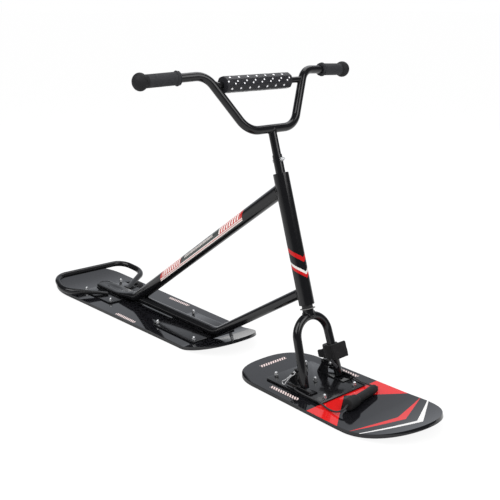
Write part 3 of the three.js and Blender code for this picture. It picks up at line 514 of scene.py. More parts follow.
class Level:
    """A number that a material works out at each place, open to plain arithmetic."""

    def __init__(self, shader: "Shader", socket: bpy.types.NodeSocket) -> None:
        """Keeps the socket that gives the number, and the shader that it belongs to."""
        self.shader = shader
        self.socket = socket

    def __add__(self, other: object) -> "Level":
        """Is the sum."""
        return self.shader.math("ADD", self, other)

    def __sub__(self, other: object) -> "Level":
        """Is the difference."""
        return self.shader.math("SUBTRACT", self, other)

    def __rsub__(self, other: object) -> "Level":
        """Is what is left of a plain number."""
        return self.shader.math("SUBTRACT", other, self)

    def __mul__(self, other: object) -> "Level":
        """Is the product, which is 1 where two masks both are."""
        return self.shader.math("MULTIPLY", self, other)

    def __truediv__(self, other: object) -> "Level":
        """Is the quotient."""
        return self.shader.math("DIVIDE", self, other)

    def __abs__(self) -> "Level":
        """Is the number without its sign."""
        return self.shader.math("ABSOLUTE", self)

    def __gt__(self, other: object) -> "Level":
        """Is 1 where the number is greater."""
        return self.shader.math("GREATER_THAN", self, other)

    def __lt__(self, other: object) -> "Level":
        """Is 1 where the number is less."""
        return self.shader.math("LESS_THAN", self, other)

    def between(self, low: object, high: object) -> "Level":
        """Is 1 where the number lies between two others."""
        return (self > low) * (self < high)

    def ranged(self, low: float, high: float) -> "Level":
        """Spreads the number from 0 to 1 over a range."""
        return self.shader.math("MULTIPLY_ADD", self, high - low, low)

    def cell(self, length: float) -> "Level":
        """Runs from 0 to 1 over each length."""
        return self.shader.math("FRACT", self / length)

    def wave(self, length: float) -> "Level":
        """Swings between -1 and 1 over each length."""
        return self.shader.math("SINE", self * (2 * math.pi / length))


class Shader:
    """Builds one node material a step at a time."""

    def __init__(self, name: str) -> None:
        """Starts a material with its main shader."""
        self.material = bpy.data.materials.new(name)
        self.material.use_nodes = True
        self.tree = self.material.node_tree
        self.surface = self.tree.nodes["Principled BSDF"]
        self.position = self.add("ShaderNodeTexCoord")

    def add(self, kind: str, **settings: object) -> bpy.types.Node:
        """Adds a node and sets its properties."""
        node = self.tree.nodes.new(kind)
        for name, value in settings.items():
            setattr(node, name, value)
        return node

    def feed(self, socket: bpy.types.NodeSocket, value: object) -> None:
        """Links a socket to another, or sets its plain value."""
        if isinstance(value, Level):
            value = value.socket
        if isinstance(value, bpy.types.NodeSocket):
            self.tree.links.new(value, socket)
        else:
            socket.default_value = value

    def put(self, values: dict[str, object]) -> None:
        """Sets or links inputs of the main shader by their names."""
        for name, value in values.items():
            self.feed(self.surface.inputs[name], value)

    def math(self, operation: str, *values: object, clamp: bool = False) -> Level:
        """Adds a math node on the given values."""
        node = self.add("ShaderNodeMath", operation=operation, use_clamp=clamp)
        for socket, value in zip(node.inputs, values):
            self.feed(socket, value)
        return Level(self, node.outputs[0])

    def split(self, kind: str) -> tuple[Level, Level, Level]:
        """Gives the three numbers of a place's coordinates.

        Args:
            kind: Object for the place on the object, UV for the one on the piece's own
                map, round and along, and Normal for where the face looks. Places are in
                metres.

        Returns:
            The three numbers.
        """
        node = self.add("ShaderNodeSeparateXYZ")
        self.feed(node.inputs[0], self.position.outputs[kind])
        across, along, up = (Level(self, output) for output in node.outputs)
        return across, along, up

    def measured(self, direction: Vector, origin: Vector) -> Level:
        """Gives how far a place lies along a direction from an origin, in metres."""
        node = self.add("ShaderNodeVectorMath", operation="DOT_PRODUCT")
        self.feed(node.inputs[0], self.position.outputs["Object"])
        node.inputs[1].default_value = direction
        return Level(self, node.outputs["Value"]) - direction.dot(origin)

    def noise(self, scale: float, detail: float = 3.0, roughness: float = 0.5) -> Level:
        """Adds noise over the object's place."""
        node = self.add("ShaderNodeTexNoise")
        self.feed(node.inputs["Vector"], self.position.outputs["Object"])
        node.inputs["Scale"].default_value = scale
        node.inputs["Detail"].default_value = detail
        node.inputs["Roughness"].default_value = roughness
        return Level(self, node.outputs["Fac"])

    def paint(self, under: object, over: object, mask: Level) -> bpy.types.NodeSocket:
        """Lays a colour over another where a mask is 1."""
        node = self.add("ShaderNodeMix", data_type="RGBA")
        self.feed(node.inputs["Factor"], mask)
        for index, colour in zip(MIX_COLOURS, (under, over)):
            linked = isinstance(colour, bpy.types.NodeSocket)
            self.feed(node.inputs[index], colour if linked else (*colour, 1.0))
        return node.outputs[MIX_RESULT]

    def tinted(self, colour: Point, factor: float, mask: Level) -> bpy.types.NodeSocket:
        """Lays a lighter or darker shade of a colour over it where a mask is 1."""
        return self.paint(colour, tuple(factor * c for c in colour), mask)

    def bump(self, height: Level, distance: float, strength: float = 1.0) -> None:
        """Raises the surface by a height, on top of what raises it already."""
        node = self.add("ShaderNodeBump")
        node.inputs["Strength"].default_value = strength
        node.inputs["Distance"].default_value = distance
        self.feed(node.inputs["Height"], height)
        normal = self.surface.inputs["Normal"]
        if normal.is_linked:
            self.feed(node.inputs["Normal"], normal.links[0].from_socket)
        self.feed(normal, node.outputs["Normal"])


@dataclass(frozen=True)
class PowderCoat:
    """Gloss black powder coat on steel."""

    name: str = "black_powder_coat"
    colour: Point = (0.004, 0.004, 0.0046)
    roughness: float = 0.15
    specular: float = 0.34
    coat_weight: float = 0.18
    coat_roughness: float = 0.1

    def mottle(self, shader: Shader) -> bpy.types.NodeSocket:
        """Gives the coat's colour with its faint mottle."""
        return shader.tinted(self.colour, 1.9, shader.noise(55.0, 2.0) * 0.5)

    def graphics(self, shader: Shader, colour: bpy.types.NodeSocket) -> bpy.types.NodeSocket:
        """Gives the colour with what is printed on the coat, here nothing."""
        return colour

    def material(self) -> bpy.types.Material:
        """Builds the coat with its fine orange peel."""
        shader = Shader(self.name)
        peel = shader.noise(140.0)
        shader.put({
            "Base Color": self.graphics(shader, self.mottle(shader)),
            "Roughness": peel.ranged(self.roughness - 0.04, self.roughness + 0.06),
            "Specular IOR Level": self.specular,
            "Coat Weight": self.coat_weight,
            "Coat Roughness": self.coat_roughness,
        })
        shader.bump(shader.noise(700.0, 1.0), 0.000004, 0.3)
        return shader.material


@dataclass(frozen=True)
class HeadTubeCoat(PowderCoat):
    """The coat of the head tube, with a red band and a chevron in white and red."""

    name: str = "head_tube_coat"
    red: Point = (0.42, 0.006, 0.007)
    white: Point = (0.60, 0.59, 0.56)
    slope: float = 0.0155
    skin_from: float = 0.0188
    band: Span = (0.338, 0.351)
    white_line: Span = (0.306, 0.3135)
    red_line: Span = (0.2965, 0.306)

    def graphics(self, shader: Shader, colour: bpy.types.NodeSocket) -> bpy.types.NodeSocket:
        """Lays the stripes over the coat's outer skin, pointing down at the front."""
        foot = place(0, 0, 0)
        along = shader.measured(Vector((-math.sin(RAKE), 0, math.cos(RAKE))), foot)
        forward = shader.measured(Vector((math.cos(RAKE), 0, math.sin(RAKE))), foot)
        side = abs(shader.split("Object")[1])
        level = along - shader.math("ARCTAN2", side, forward) * self.slope
        outside = forward * forward + side * side > self.skin_from**2
        stripes = ((self.band, self.red), (self.white_line, self.white), (self.red_line, self.red))
        for span, paint in stripes:
            colour = shader.paint(colour, paint, level.between(*span) * outside)
        return colour


@dataclass(frozen=True)
class FrameTubeCoat(PowderCoat):
    """The coat of the upper frame tube, with hatched blocks, a grey panel and a double line.

    Spans run down the tube in metres, or round it in degrees up from its middle.
    """

    name: str = "frame_tube_coat"
    red: Point = (0.42, 0.016, 0.014)
    white: Point = (0.74, 0.68, 0.65)
    grey: Point = (0.042, 0.048, 0.047)
    slope: float = math.radians(34.83)
    start: Span = (-162.45, 506.58)
    slant: float = 0.012
    ends: Span = (0.174, 0.650)
    panel: Span = (0.297, 0.520)
    field_from: float = -2
    hatch_margin: float = 0.012
    hatch_pitch: float = 0.0138
    hatch_share: float = 0.55
    hatch_from: float = 3
    ticks: Span = (0.325, 0.492)
    tick_rise: Span = (20, 44)
    tick_pitch: float = 0.0078
    tick_share: float = 0.5

    def graphics(self, shader: Shader, colour: bpy.types.NodeSocket) -> bpy.types.NodeSocket:
        """Lays the decal over the coat, on both sides of the tube."""
        origin = place(self.start[0], 0, self.start[1])
        travel = shader.measured(Vector((-math.cos(self.slope), 0, -math.sin(self.slope))), origin)
        up = shader.measured(Vector((-math.sin(self.slope), 0, math.cos(self.slope))), origin)
        turn = shader.math("ARCTAN2", up, abs(shader.split("Object")[1]))
        slanted = turn * self.slant + travel
        within, middle = slanted.between(*self.ends), slanted.between(*self.panel)
        field_mask = turn > math.radians(self.field_from)
        colour = shader.paint(colour, self.grey, middle * field_mask)
        ticks = travel.between(*self.ticks) * turn.between(*map(math.radians, self.tick_rise))
        ticks = ticks * (slanted.cell(self.tick_pitch) < self.tick_share)
        colour = shader.paint(colour, self.white, ticks)
        block = within * field_mask * (1.0 - middle)
        colour = shader.paint(colour, self.red, block)
        low, high = self.ends
        hatch = slanted.between(low + self.hatch_margin, high - self.hatch_margin)
        hatch = hatch * (slanted.cell(self.hatch_pitch) < self.hatch_share)
        hatch = hatch * (turn > math.radians(self.hatch_from))
        colour = shader.paint(colour, self.white, block * hatch)
        for low, high, paint in ((-25, -15, self.white), (-15, -10, self.red), (-10, -2, self.white)):
            line = turn.between(math.radians(low), math.radians(high))
            colour = shader.paint(colour, paint, within * line)
        return colour


@dataclass(frozen=True)
class Dashes:
    """A row of slanted bars on a board, in the layout's millimetres."""

    middle: Span
    half: Span
    along_y: bool = False


@dataclass(frozen=True)
class GlossDeck:
    """The boards' gloss laminate with its printed stripes."""

    name: str
    dashes: tuple[Dashes, ...]
    chevrons: bool = False
    black: Point = (0.0045, 0.0045, 0.0055)
    red: Point = (0.50, 0.010, 0.010)
    white: Point = (0.62, 0.61, 0.60)
    pale: Point = (0.62, 0.50, 0.48)
    bar_pitch: float = 0.0085
    bar_share: float = 0.62
    bar_slant: float = 0.7

    def _stripes(
        self, shader: Shader, colour: bpy.types.NodeSocket, x: Level, y: Level
    ) -> bpy.types.NodeSocket:
        """Lays the red field and the two chevrons on the front ski."""
        wide = abs(y)
        stripes = (
            (self.red, (0.0665, 0.0), (0.070, 0.745)),
            (self.red, (0.243, -0.27), (0.266, -0.44)),
            (self.white, (0.299, -0.52), (0.316, -0.625)),
        )
        for paint, *edges in stripes:
            low, high = (wide * slope + apex for apex, slope in edges)
            colour = shader.paint(colour, paint, x.between(low, high))
        return colour

    def material(self) -> bpy.types.Material:
        """Builds the laminate with its print under the gloss, on the faces that look up."""
        shader = Shader(self.name)
        raw_x, y, _ = shader.split("Object")
        x = raw_x - AXIS_FOOT * MM
        plain = shader.tinted(self.black, 1.8, shader.noise(18.0, 4.0, 0.6) * 0.6)
        colour = self._stripes(shader, plain, x, y) if self.chevrons else plain
        for row in self.dashes:
            (mx, my), (hx, hy) = row.middle, row.half
            inside = x.between((mx - hx) * MM, (mx + hx) * MM) * y.between((my - hy) * MM, (my + hy) * MM)
            run, cross = (y, x) if row.along_y else (x, y)
            bars = (cross * self.bar_slant + run).cell(self.bar_pitch) < self.bar_share
            colour = shader.paint(colour, self.pale, inside * bars)
        looks_up = shader.split("Normal")[2] > 0.5
        shader.put({
            "Base Color": shader.paint(plain, colour, looks_up),
            "Roughness": shader.noise(7.0, 5.0, 0.65).ranged(0.03, 0.1),
            "Specular IOR Level": 0.5,
        })
        shader.bump(shader.noise(60.0, 1.0), 0.00003, 0.12)
        return shader.material


@dataclass(frozen=True)
class Metal:
    """A bright metal with fine brushing."""

    name: str
    colour: Point
    roughness: float
    metallic: float = 0.92

    def material(self) -> bpy.types.Material:
        """Builds the metal."""
        shader = Shader(self.name)
        shader.put({
            "Base Color": shader.tinted(self.colour, 0.72, shader.noise(420.0, 2.0)),
            "Metallic": self.metallic,
            "Roughness": shader.noise(900.0).ranged(self.roughness - 0.06, self.roughness + 0.12),
        })
        shader.bump(shader.noise(1400.0), 0.00003, 0.4)
        return shader.material


@dataclass(frozen=True)
class Rubber:
    """Matte rubber with fine ribs, darker towards the outer ball."""

    name: str = "grip_rubber"
    body: Point = (0.024, 0.025, 0.029)
    ball: Point = (0.006, 0.006, 0.007)
    ball_from: float = 0.3285
    rib: float = 0.0026

    def material(self) -> bpy.types.Material:
        """Builds the rubber, its ribs running round the grip."""
        shader = Shader(self.name)
        out = abs(shader.split("Object")[1])
        ball = out > self.ball_from
        shade = shader.noise(120.0, 4.0, 0.65)
        shader.put({
            "Base Color": shader.paint(shader.tinted(self.body, 0.62, shade), self.ball, ball),
            "Roughness": shade.ranged(0.58, 0.78),
            "Specular IOR Level": 0.35,
        })
        shader.bump(out.wave(self.rib) * (1.0 - ball), 0.0003, 0.55)
        shader.bump(shader.noise(1500.0, 2.0), 0.00008, 0.5)
        return shader.material


@dataclass(frozen=True)
class Foam:
    """Closed-cell foam rubber of the tow handle."""

    name: str = "handle_foam"
    colour: Point = (0.0065, 0.007, 0.0075)

    def material(self) -> bpy.types.Material:
        """Builds the foam with its fine pores."""
        shader = Shader(self.name)
        pores = shader.noise(1100.0, 3.0, 0.7)
        shader.put({
            "Base Color": shader.tinted(self.colour, 1.9, shader.noise(60.0, 3.0)),
            "Roughness": pores.ranged(0.55, 0.75),
            "Specular IOR Level": 0.3,
        })
        shader.bump(pores, 0.00018, 0.7)
        return shader.material


@dataclass(frozen=True)
class DottedCloth:
    """The pad's woven sleeve with its printed dots, on the pad's own map.

    Pairs of dots and single dots take turns from face to face. A dot is its place round
    and along in a cell of two faces and one pitch, as shares, and its radius in metres.
    """

    name: str = "pad_sleeve"
    cloth: Point = (0.0045, 0.0045, 0.0065)
    dot: Point = (0.78, 0.78, 0.80)
    face: float = 0.01658
    pitch: float = 0.0295
    start: float = 0.0317
    thread: float = 0.0009
    ends: Span = (0.003, 0.221)
    dots: tuple[Point, ...] = (
        (0.25 + 0.096, 0.5 + 0.145, 0.0022),
        (0.25 - 0.096, 0.5 - 0.145, 0.0022),
        (0.75, 0.02, 0.0029),
    )

    def material(self) -> bpy.types.Material:
        """Builds the cloth with the dots of its print, matte at its bare ends."""
        shader = Shader(self.name)
        around, along, _ = shader.split("UV")
        width = 2 * self.face
        cell_u = (around + (self.face / 2 + width)).cell(width)
        cell_v = (along - (self.start - 1.5 * self.pitch)).cell(self.pitch)
        printed = along.between(*self.ends)
        colour = shader.tinted(self.cloth, 2.2, shader.noise(240.0, 3.0))
        for middle_u, middle_v, radius in self.dots:
            du = (cell_u - middle_u) * width
            apart = cell_v - middle_v
            dv = (apart - shader.math("ROUND", apart)) * self.pitch
            colour = shader.paint(colour, self.dot, (du * du + dv * dv < radius**2) * printed)
        sheen = shader.noise(300.0).ranged(0.32, 0.45)
        shader.put({
            "Base Color": colour,
            "Roughness": sheen + (1.0 - printed) * 0.5,
            "Specular IOR Level": 0.36,
        })
        shader.bump(around.wave(self.thread) * along.wave(self.thread), 0.0001, 0.4)
        return shader.material


@dataclass(frozen=True)
class WovenCloth:
    """Matte black woven cloth, its weave on the object's own place."""

    name: str
    colour: Point = (0.006, 0.006, 0.0065)
    thread: float = 0.0011

    def material(self) -> bpy.types.Material:
        """Builds the cloth."""
        shader = Shader(self.name)
        shade = shader.noise(90.0, 4.0, 0.6)
        wave_x, wave_y, wave_z = (value.wave(self.thread) for value in shader.split("Object"))
        shader.put({
            "Base Color": shader.tinted(self.colour, 1.8, shade),
            "Roughness": shade.ranged(0.78, 0.95),
            "Specular IOR Level": 0.2,
            "Sheen Weight": 0.1,
        })
        shader.bump(wave_x * wave_z + wave_y * wave_z, 0.00014, 0.6)
        shader.bump(shade, 0.0008, 0.35)
        return shader.material


@dataclass(frozen=True)
class BraidedCord:
    """The tow rope's braid, on the rope's own map."""

    name: str = "braided_cord"
    colour: Point = (0.010, 0.010, 0.011)
    diameter: float = 0.0046
    strands: int = 4
    plait: float = 0.0048

    def material(self) -> bpy.types.Material:
        """Builds the braid from two crossing sets of strands, with painted shade in the grooves between them
        and painted highlight on their crowns.
        """
        shader = Shader(self.name)
        around, along, _ = shader.split("UV")
        turns = around * (2 * self.strands / self.diameter)
        run = along * (2 * math.pi / self.plait)
        crossing = shader.math("SINE", turns + run), shader.math("SINE", turns - run)
        braid = shader.math("MAXIMUM", *crossing)
        # Painted shade and highlight: the colour follows the braid's height, darker in the grooves between
        # strands and lighter on their crowns.
        height = shader.math("MULTIPLY_ADD", braid, 0.5, 0.5, clamp=True)
        shader.put({
            "Base Color": shader.tinted(self.colour, 3.0, height),
            "Roughness": shader.noise(500.0).ranged(0.6, 0.85),
        })
        shader.bump(braid, 0.0004, 0.8)
        return shader.material


@dataclass(frozen=True)
class Moulding:
    """Moulded plastic."""

    name: str
    colour: Point
    roughness: float

    def material(self) -> bpy.types.Material:
        """Builds the plastic."""
        shader = Shader(self.name)
        shade = shader.noise(200.0, 3.0)
        shader.put({
            "Base Color": shader.tinted(self.colour, 0.9, shade),
            "Roughness": shade.ranged(self.roughness - 0.06, self.roughness + 0.08),
        })
        shader.bump(shader.noise(1200.0), 0.00004, 0.3)
        return shader.material


@dataclass
class Finishes:
    """Every finish of the scooter, built once."""

    made: dict[str, bpy.types.Material] = field(default_factory=dict)

    def __post_init__(self) -> None:
        """Builds the materials."""
        rear_rows = (Dashes((-772, 108), (52, 6)), Dashes((-760, -112), (52, 6)))
        front_rows = (
            Dashes((-40, -104), (50, 6)),
            Dashes((-20, 113), (36, 5)),
            Dashes((-201, 7), (6, 47), along_y=True),
        )
        finishes = {
            "coat": PowderCoat(),
            "head": HeadTubeCoat(),
            "frame_tube": FrameTubeCoat(),
            "rear_deck": GlossDeck("rear_deck_laminate", rear_rows),
            "front_deck": GlossDeck("front_deck_laminate", front_rows, chevrons=True),
            "zinc": Metal("bright_zinc", (0.86, 0.87, 0.88), 0.24),
            # Painted reflection: the spring steel is only partly metallic, so its pale colour, lit like a
            # matte surface, stands in for the clip's bright reflections.
            "spring": Metal("spring_steel", (0.84, 0.85, 0.86), 0.34, 0.62),
            "rubber": Rubber(),
            "foam": Foam(),
            "pad": DottedCloth(),
            "cuff": WovenCloth("cuff_cloth"),
            "strap": WovenCloth("webbing_cloth", (0.022, 0.022, 0.024), 0.0016),
            "braid": BraidedCord(),
            "bush": Moulding("black_bush", (0.012, 0.012, 0.013), 0.55),
            "washer": Moulding("pale_washer", (0.16, 0.16, 0.155), 0.5),
        }
        self.made = {key: finish.material() for key, finish in finishes.items()}

    def __getitem__(self, key: str) -> bpy.types.Material:
        """Gives a material by its key."""
        return self.made[key]


@dataclass
class Assembly:
    """What every sub-assembly shares: the frame's nodes and the finishes."""

    nodes: dict[str, bpy.types.Object]
    finishes: Finishes
    body: str = "fork"

    def dress(self, piece: bpy.types.Object, finish: str, slot: str, *nodes: str) -> bpy.types.Object:
        """Gives a new piece its finish, its body and the solids that it stands for.

        Args:
            piece: The new piece.
            finish: The key of its finish.
            slot: Not used.
            *nodes: The solids that it stands for.

        Returns:
            The same piece.
        """
        piece.data.materials.clear()
        piece.data.materials.append(self.finishes[finish])
        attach(piece, self.body)
        if nodes:
            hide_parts(*nodes)
        LOG.info("%s: %d faces on %s", piece.name, len(piece.data.polygons), self.body)
        return piece

    def coat(self, piece: bpy.types.Object, *nodes: str) -> bpy.types.Object:
        """Gives a new piece the plain black coat, its body and the solids that it stands for."""
        return self.dress(piece, "coat", "black_paint", *nodes)

    def keep(self, node: str, finish: str) -> None:
        """Leaves a solid as it is, with a better finish."""
        solid = self.nodes[node]
        solid.data.materials.clear()
        solid.data.materials.append(self.finishes[finish])
        LOG.info("%s: kept", node)


@dataclass(frozen=True)
class BoardShape:
    """The outline and the rises of a board, as its solid has them."""

    nose: float
    tail: float
    nose_half: float
    tail_half: float
    nose_cap: float
    nose_power: float
    tail_cap: float
    tail_power: float
    nose_rise_length: float
    nose_rise: float
    tail_rise_length: float
    tail_rise: float
    nose_rise_power: float = 2.0
    cap_steps: int = 30
    middle_steps: int = 9
    sweep: float = math.radians(88)

    def rise(self, x: float) -> tuple[float, float]:
        """Gives the underside's height over the snow at x, and its slope there."""
        nose = max(0.0, x - (self.nose - self.nose_rise_length)) / self.nose_rise_length
        tail = max(0.0, self.tail + self.tail_rise_length - x) / self.tail_rise_length
        power = self.nose_rise_power
        slope = power * self.nose_rise * nose ** (power - 1) / self.nose_rise_length
        slope -= 2 * self.tail_rise * tail / self.tail_rise_length
        return self.nose_rise * nose**power + self.tail_rise * tail**2, slope

    def half_width(self, x: float) -> float:
        """Gives the half width at x, before the caps draw it in."""
        share = share_between(x, self.tail + self.tail_cap, self.nose - self.nose_cap)
        return self.tail_half + (self.nose_half - self.tail_half) * share

    def _cap(self, start: float, reach: float, power: float, step: int) -> tuple[float, float]:
        """Gives one station of a rounded end."""
        angle = self.sweep * step / self.cap_steps
        share = (math.sin(angle) / math.sin(self.sweep)) ** (2 / power)
        x = start + reach * share
        return x, self.half_width(x) * math.cos(angle) ** (2 / power)

    def stations(self) -> list[tuple[float, float]]:
        """Lists place and half width from the tail to the nose."""
        low, high = self.tail + self.tail_cap, self.nose - self.nose_cap
        steps = range(self.cap_steps + 1)
        tail = [self._cap(low, -self.tail_cap, self.tail_power, step) for step in reversed(steps)]
        inner = [low + (high - low) * i / self.middle_steps for i in range(1, self.middle_steps)]
        middle = [(x, self.half_width(x)) for x in inner]
        nose = [self._cap(high, self.nose_cap, self.nose_power, step) for step in steps]
        return tail + middle + nose


REAR_BOARD = BoardShape(
    nose=-320, tail=-1245, nose_half=118, tail_half=131.5,
    nose_cap=156, nose_power=2.25, tail_cap=150, tail_power=2.8,
    nose_rise_length=137, nose_rise=38, tail_rise_length=150, tail_rise=20, nose_rise_power=1.3,
)
FRONT_SKI = BoardShape(
    nose=345.3, tail=-240.5, nose_half=133.5, tail_half=127.5,
    nose_cap=154, nose_power=2.0, tail_cap=114, tail_power=2.5,
    nose_rise_length=181, nose_rise=34.5, tail_rise_length=114, tail_rise=0,
)


@dataclass(frozen=True)
class PlateShape:
    """A plate's extent and where its bolts stand."""

    rear: float
    front: float
    half_width: float
    bolts: tuple[Span, ...]


def corner_bolts(rear: float, front: float, side: float) -> tuple[Span, ...]:
    """Lists the four bolts of a plate, in the order of the solids' nodes."""
    return ((rear, -side), (rear, side), (front, -side), (front, side))


REAR_FRONT_PLATE = PlateShape(-655, -451.5, 82, corner_bolts(-644, -462.5, 69.4))
REAR_REAR_PLATE = PlateShape(-1077, -902, 80, corner_bolts(-1066, -913, 69.4))
FRONT_PLATE = PlateShape(-131, 69, 86, (*corner_bolts(-123, 55, 55.4), (-32.5, 0)))


@dataclass
class Decks(Assembly):
    """The boards, their plates and their bolts."""

    board_rows: int = 16
    plate_corner: float = 8.0
    first_turn: float = 17.0
    turn_step: float = 41.0

    def board(self, name: str, shape: BoardShape) -> bpy.types.Object:
        """Shapes a grid into the board's top and gives it its thickness."""
        stations = shape.stations()
        clear_selection()
        bpy.ops.mesh.primitive_grid_add(
            x_subdivisions=len(stations) - 1, y_subdivisions=self.board_rows, size=1
        )
        piece = take(name)
        for vertex in piece.data.vertices:
            x, half = stations[round((vertex.co.x + 0.5) * (len(stations) - 1))]
            height, slope = shape.rise(x)
            lean = math.atan(slope)
            on_edge = abs(vertex.co.y) > 0.499
            across = half * (2 * vertex.co.y if on_edge else math.sin(math.pi * vertex.co.y))
            vertex.co = place(x - BOARD_TOP * math.sin(lean), across, height + BOARD_TOP * math.cos(lean))
        modify(piece, "SOLIDIFY", thickness=BOARD_TOP * MM, offset=-1.0, use_even_offset=True)
        face_outward(piece)
        round_edges(piece, 2.4, 3, 50)
        return piece

    def plate(self, name: str, shape: PlateShape) -> bpy.types.Object:
        """Cuts a plate with rounded corners and raises it to its thickness."""
        clear_selection()
        bpy.ops.mesh.primitive_plane_add(size=1)
        piece = take(name)
        for vertex in piece.data.vertices:
            x = shape.front if vertex.co.x > 0 else shape.rear
            vertex.co = place(x, math.copysign(shape.half_width, vertex.co.y), PLATE_BOTTOM)
        rise = (0, 0, (PLATE_TOP - PLATE_BOTTOM) * MM)
        with editing():
            bpy.ops.mesh.bevel(offset=self.plate_corner * MM, segments=6, affect="VERTICES")
            bpy.ops.mesh.select_all(action="SELECT")
            bpy.ops.mesh.extrude_region_move(TRANSFORM_OT_translate={"value": rise})
        face_outward(piece)
        round_edges(piece, 0.9)
        return piece

    def dome_nut(self, name: str, frame: Matrix) -> bpy.types.Object:
        """Models a dome nut on its washer, standing on z = 0 of a placement."""
        across_flats, high, middle = 10, 5, 2.6
        clear_selection()
        bpy.ops.mesh.primitive_cylinder_add(
            vertices=6, radius=across_flats / math.sqrt(3) * MM, depth=high * MM, location=(0, 0, middle * MM)
        )
        hexagon = take(name + "_hex")
        settle(hexagon, Matrix.Identity(4))
        round_edges(hexagon, 0.5)
        profiles = {
            "dome": [
                (0.5, 4.9), (4.7, 4.9), (4.7, 7.0), (4.45, 8.6),
                (3.8, 10.2), (2.7, 11.3), (1.3, 11.85), (0, 12.0),
            ],
            "skirt": [(0.5, 0.05), (5.4, 0.05), (5.4, 0.7), (0.5, 0.7)],
        }
        turned = [
            lathe(f"{name}_{key}", profile, Matrix.Identity(4), BOLT_STEPS)
            for key, profile in profiles.items()
        ]
        nut = join_pieces(name, [hexagon, *turned])
        settle(nut, frame)
        return nut

    def fasteners(self, prefix: str, places: tuple[Span, ...]) -> None:
        """Models one bolt with its nut and copies it to each place."""
        nut = self.dome_nut(prefix + "_model", Matrix.Translation((0, 0, ON_PLATE * MM)))
        head = [(0, 0.5), (4.2, 0.5), (5.2, 0.9), (5.6, 1.6), (5.6, 2.7)]
        shank = [(3.0, 2.7), (3.0, ON_PLATE + 1), (0, ON_PLATE + 1)]
        bolt = lathe(prefix + "_shank", head + shank, Matrix.Identity(4), BOLT_STEPS)
        model = join_pieces(prefix + "_model", [nut, bolt])
        for i, (x, y) in enumerate(places):
            node = f"{prefix}_{i + 1}"
            piece = copied(f"dome_nut_{node}", model)
            turn = Matrix.Rotation(math.radians(self.first_turn + self.turn_step * i), 4, "Z")
            settle(piece, Matrix.Translation(place(x, y, 0)) @ turn)
            self.dress(piece, "zinc", "zinc", node)
        bpy.data.objects.remove(model)

    def build(self) -> None:
        """Builds both boards with what is bolted to them."""
        self.body = "rear_frame"
        self.dress(self.board("foot_board", REAR_BOARD), "rear_deck", "gloss_deck", "rear_board")
        self.coat(self.plate("foot_plate_front", REAR_FRONT_PLATE), "rear_front_plate")
        self.coat(self.plate("foot_plate_rear", REAR_REAR_PLATE), "rear_rear_plate")
        self.fasteners("rear_bolt", REAR_FRONT_PLATE.bolts + REAR_REAR_PLATE.bolts)
        self.body = "fork"
        self.dress(self.board("steering_ski", FRONT_SKI), "front_deck", "gloss_deck", "front_ski")
        self.coat(self.plate("ski_plate", FRONT_PLATE), "front_base_plate")
        self.fasteners("front_bolt", FRONT_PLATE.bolts)


